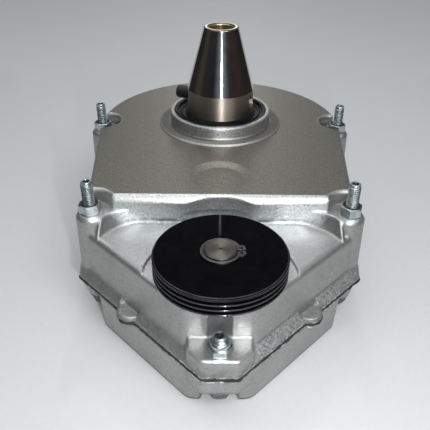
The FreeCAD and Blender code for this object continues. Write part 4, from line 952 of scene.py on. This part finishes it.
def outer_edge(node, name):
    """Wire loop round the outside of a flat CAD node, from a merged copy of its top face."""
    sheet = bpy.data.objects.new(name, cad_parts[node].data.copy())
    bpy.context.collection.objects.link(sheet)
    outward(sheet)
    select_by(sheet, "polygons", lambda face: face.normal.z < 0.9)
    bpy.ops.mesh.delete(type="FACE")
    leave_edit()
    uses = {}
    for face in sheet.data.polygons:
        for key in face.edge_keys:
            uses[key] = uses.get(key, 0) + 1
    select_by(sheet, "edges", lambda edge: uses.get(edge.key, 0) != 1)
    bpy.ops.mesh.delete(type="EDGE")
    bpy.ops.mesh.select_all(action="SELECT")
    bpy.ops.mesh.delete(type="ONLY_FACE")
    leave_edit()
    only(sheet)
    bpy.ops.mesh.separate(type="LOOSE")
    loops = list(bpy.context.selected_objects)
    outside = max(loops, key=lambda loop: loop.dimensions.x)
    for loop in loops:
        if loop is not outside:
            drop(loop)
    only(outside)
    return new_piece(name)


class REDUCER_OT_gasket_bead(Operator):
    """Models the ragged dark bead that the castings squeezed out of the gasket, made thick enough to stand in
    for the shade in the gap between the flanges too
    """
    bl_idname = "reducer.gasket_bead"
    bl_label = "Gasket bead"

    def execute(self, context):
        sizes = context.scene.reducer_bead
        outer_edge("housing_gasket", "gasket_bead")
        bpy.ops.object.convert(target="CURVE")
        bead = bpy.context.object
        bead.data.bevel_depth = sizes.radius
        bead.data.bevel_resolution = 2
        bpy.ops.object.convert(target="MESH")
        bead = new_piece("gasket_bead")
        use_modifier(bead, "REMESH", mode="VOXEL", voxel_size=sizes.grain)
        lumps = bpy.data.textures.new("bead_lumps", "CLOUDS")
        lumps.noise_scale = sizes.lump_size
        use_modifier(bead, "DISPLACE", texture=lumps, texture_coords="LOCAL", strength=sizes.lump_height,
                     mid_level=0.5)
        low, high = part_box("housing_gasket")
        bead.data.transform(Matrix.Translation((0, 0, (low.z - high.z) / 2)))
        box_low, box_high = CAD_BOX
        for vertex in bead.data.vertices:
            for i in range(2):
                vertex.co[i] = min(max(vertex.co[i], box_low[i]), box_high[i])
        outward(bead)
        smooth(bead, 60.0)
        dress(bead, gasket_finish(context.scene.reducer_colours))
        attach(bead, "housing")
        return {"FINISHED"}


class REDUCER_OT_output_seal(Operator):
    """Models the rubber seal round the output shaft with its ridge and lip"""
    bl_idname = "reducer.output_seal"
    bl_label = "Output seal"

    def execute(self, context):
        low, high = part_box("output_seal")
        outer, foot, top = high.x, low.z, high.z
        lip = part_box("output_top_bearing_inner")[1].x - LIP_INSIDE_BEARING
        wall = outer - SEAL_WALL * MM
        points = [(outer, foot)]
        points += [(outer - inwards * MM, top - down * MM) for inwards, down in SEAL_FACE]
        points += [(lip + outwards * MM, top - down * MM) for outwards, down in SEAL_LIP]
        points += [(wall, top - SEAL_HOLLOW * MM), (wall, foot), (outer, foot)]
        seal = smooth(lathe("output_seal_ridged", points, 128), 50.0)
        dress(seal, rubber_finish(context.scene.reducer_colours))
        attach(seal, "housing")
        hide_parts("output_seal")
        return {"FINISHED"}


class REDUCER_OT_castings(Operator):
    """Finishes the two castings and the gasket between them"""
    bl_idname = "reducer.castings"
    bl_label = "Castings and gasket"

    def execute(self, context):
        colours = context.scene.reducer_colours
        skin = cast_finish(colours)
        wear("upper_housing", skin)
        wear("lower_housing", skin)
        wear("housing_gasket", gasket_finish(colours))
        return {"FINISHED"}


class REDUCER_OT_shafts(Operator):
    """Finishes the shafts, gears, bearings, keys, seals and circlips"""
    bl_idname = "reducer.shafts"
    bl_label = "Shafts and running gear"

    def execute(self, context):
        colours = context.scene.reducer_colours
        wear("output_shaft", polished_finish(colours))
        wear("drive_pin", black_pin_finish(colours))
        rubber = rubber_finish(colours)
        wear("output_seal", rubber)
        wear("input_seal", rubber)
        wear("input_shaft", turned_finish(
            "turned_input", colours.shaft_end, INPUT_AXIS, 0.34, spread=0.02, spot=0.9 * MM))
        wear("pulley", pulley_finish(colours))
        wear("pulley_clip", turned_finish("spring_input", shade(colours.spring, 0.45), INPUT_AXIS, 0.38))
        wear("pulley_key", turned_finish("turned_input_plain", colours.ground, INPUT_AXIS, 0.34))
        for shaft, axis in SHAFT_AXES.items():
            steel = turned_finish("turned_" + shaft + "_inside", colours.ground, axis, 0.32)
            spring = turned_finish("spring_" + shaft + "_inside", colours.spring, axis, 0.38)
            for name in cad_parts:
                if name.startswith(shaft + "_") and name not in OWN_FINISH:
                    wear(name, spring if name.endswith("clip") else steel)
        wear("dowel_sleeves", turned_finish("turned_sleeve", colours.ground, OUTPUT_AXIS, 0.34))
        return {"FINISHED"}


class REDUCER_OT_stage(Operator):
    """Sets the pale floor, the room, the lights, the card and the camera"""
    bl_idname = "reducer.stage"
    bl_label = "Stage"

    def execute(self, context):
        settings = context.scene.reducer_stage
        self.floor(settings)
        self.room(context.scene, settings)
        for name, place, target, size, power in LIGHTS:
            self.soft_light(name, Vector(place), Vector(target), size, getattr(settings, power))
        self.card(settings)
        self.camera(context.scene, settings)
        context.scene.view_settings.view_transform = "Standard"
        return {"FINISHED"}

    def floor(self, settings):
        """Wide floor under the object, paler in the distance."""
        start_clean()
        bpy.ops.mesh.primitive_circle_add(
            vertices=96, radius=FLOOR_RADIUS, fill_type="NGON", location=(0, 0, CAD_BOX[0].z))
        floor = settle(new_piece("floor"))
        f = Finish("floor_paint", settings.floor_colour, 0.0, 0.6)
        near = f.mottled(f.noise(3 * MM, 3.0, 0.6), 0.3, 0.7, settings.floor_colour, 0.985, 1.01)
        away = f.mapped(f.radius_from(0.0, 0.0), *FLOOR_RAMP)
        f.colour(f.blend(away, near, shade(settings.floor_colour, FAR_FLOOR)))
        dress(floor, f)

    def room(self, scene, settings):
        """Even pale light from all sides."""
        world = bpy.data.worlds.get("studio") or bpy.data.worlds.new("studio")
        scene.world = world
        world.use_nodes = True
        tree = world.node_tree
        tree.nodes.clear()
        pale = tree.nodes.new("ShaderNodeBackground")
        pale.inputs["Color"].default_value = (*settings.room_colour, 1.0)
        out = tree.nodes.new("ShaderNodeOutputWorld")
        tree.links.new(pale.outputs[0], out.inputs["Surface"])

    def card(self, settings):
        """Dark card with soft stripes, bent round the front; only the gloss of the metal shows it."""
        side, radius = settings.card_reach, settings.card_radius
        corner = (-radius * math.sin(side), -radius * math.cos(side), CAD_BOX[0].z + MM)
        card = one_vertex("dark_card", corner)
        bpy.ops.mesh.extrude_region_move(TRANSFORM_OT_translate={"value": (0, 0, CARD_HEIGHT)})
        bpy.ops.mesh.select_all(action="SELECT")
        bpy.ops.mesh.spin(steps=96, angle=-2 * side, center=(0, 0, 0), axis=(0, 0, 1))
        leave_edit()
        f = Finish("card_paint", (0.004, 0.004, 0.005), 0.0, 0.9)
        x, y, _ = f.axes()
        turn = f.math("ARCTAN2", x, f.times(y, -1.0))
        glow = CARD_DARK
        for middle, inner, outer, colour in CARD_STRIPES:
            glow = f.blend(f.band(turn, middle, inner, outer), glow, colour)
        f.link(glow, f.shader.inputs["Emission Color"])
        f.shader.inputs["Emission Strength"].default_value = 1.0
        dress(card, f)
        card.visible_camera = card.visible_diffuse = card.visible_shadow = False

    def soft_light(self, name, place, target, size, watts):
        """Rectangular light that the camera doesn't see."""
        lamp = bpy.data.lights.new(name, "AREA")
        lamp.shape = "RECTANGLE"
        lamp.size, lamp.size_y = size
        lamp.energy = watts
        obj = bpy.data.objects.new(name, lamp)
        bpy.context.collection.objects.link(obj)
        obj.location = place
        obj.rotation_euler = (target - place).to_track_quat("-Z", "Y").to_euler()
        obj.visible_camera = False

    def camera(self, scene, settings):
        """Camera of the reference view."""
        pitch, roll, yaw = (math.radians(angle) for angle in CAMERA_TURN)
        look = Vector((math.sin(yaw) * math.cos(pitch), math.cos(yaw) * math.cos(pitch), -math.sin(pitch)))
        level = Vector((math.cos(yaw), -math.sin(yaw), 0.0))
        above = level.cross(look)
        right = math.cos(roll) * level + math.sin(roll) * above
        up = math.cos(roll) * above - math.sin(roll) * level
        data = bpy.data.cameras.new("view_camera")
        data.lens = settings.lens
        data.sensor_width = 36.0
        data.clip_start = 0.01
        obj = bpy.data.objects.new("view_camera", data)
        bpy.context.collection.objects.link(obj)
        turn = Matrix((right, up, -look)).transposed().to_4x4()
        obj.matrix_world = Matrix.Translation(CAMERA_PLACE) @ turn
        scene.camera = obj


class REDUCER_PT_panel(Panel):
    """Lists the steps and settings of the reducer"""
    bl_idname = "REDUCER_PT_panel"
    bl_label = "Gear reducer"
    bl_space_type = "VIEW_3D"
    bl_region_type = "UI"
    bl_category = "Reducer"

    def draw(self, context):
        layout = self.layout
        for step in STEPS:
            layout.operator("reducer." + step)
        for group in GROUPS:
            data = getattr(context.scene, group)
            box = layout.box()
            for key in data.__annotations__:
                box.prop(data, key)


STEPS = (
    "castings", "shafts", "output_seal", "gasket_bead", "corner_bolts", "corner_nuts", "nose_bolt", "stage",
)
GROUPS = {
    "reducer_fasteners": FastenerSizes,
    "reducer_bead": BeadSizes,
    "reducer_colours": FinishColours,
    "reducer_stage": StageSettings,
}
CLASSES = (
    *GROUPS.values(), REDUCER_OT_castings, REDUCER_OT_shafts, REDUCER_OT_output_seal,
    REDUCER_OT_gasket_bead, REDUCER_OT_corner_bolts, REDUCER_OT_corner_nuts, REDUCER_OT_nose_bolt,
    REDUCER_OT_stage, REDUCER_PT_panel,
)


def register():
    for item in CLASSES:
        bpy.utils.register_class(item)
    for group, kind in GROUPS.items():
        setattr(bpy.types.Scene, group, PointerProperty(type=kind))


def unregister():
    for group in GROUPS:
        delattr(bpy.types.Scene, group)
    for item in reversed(CLASSES):
        bpy.utils.unregister_class(item)


def main():
    register()
    for step in STEPS:
        getattr(bpy.ops.reducer, step)()
    bpy.context.view_layer.update()


if __name__ == "__main__":
    main()
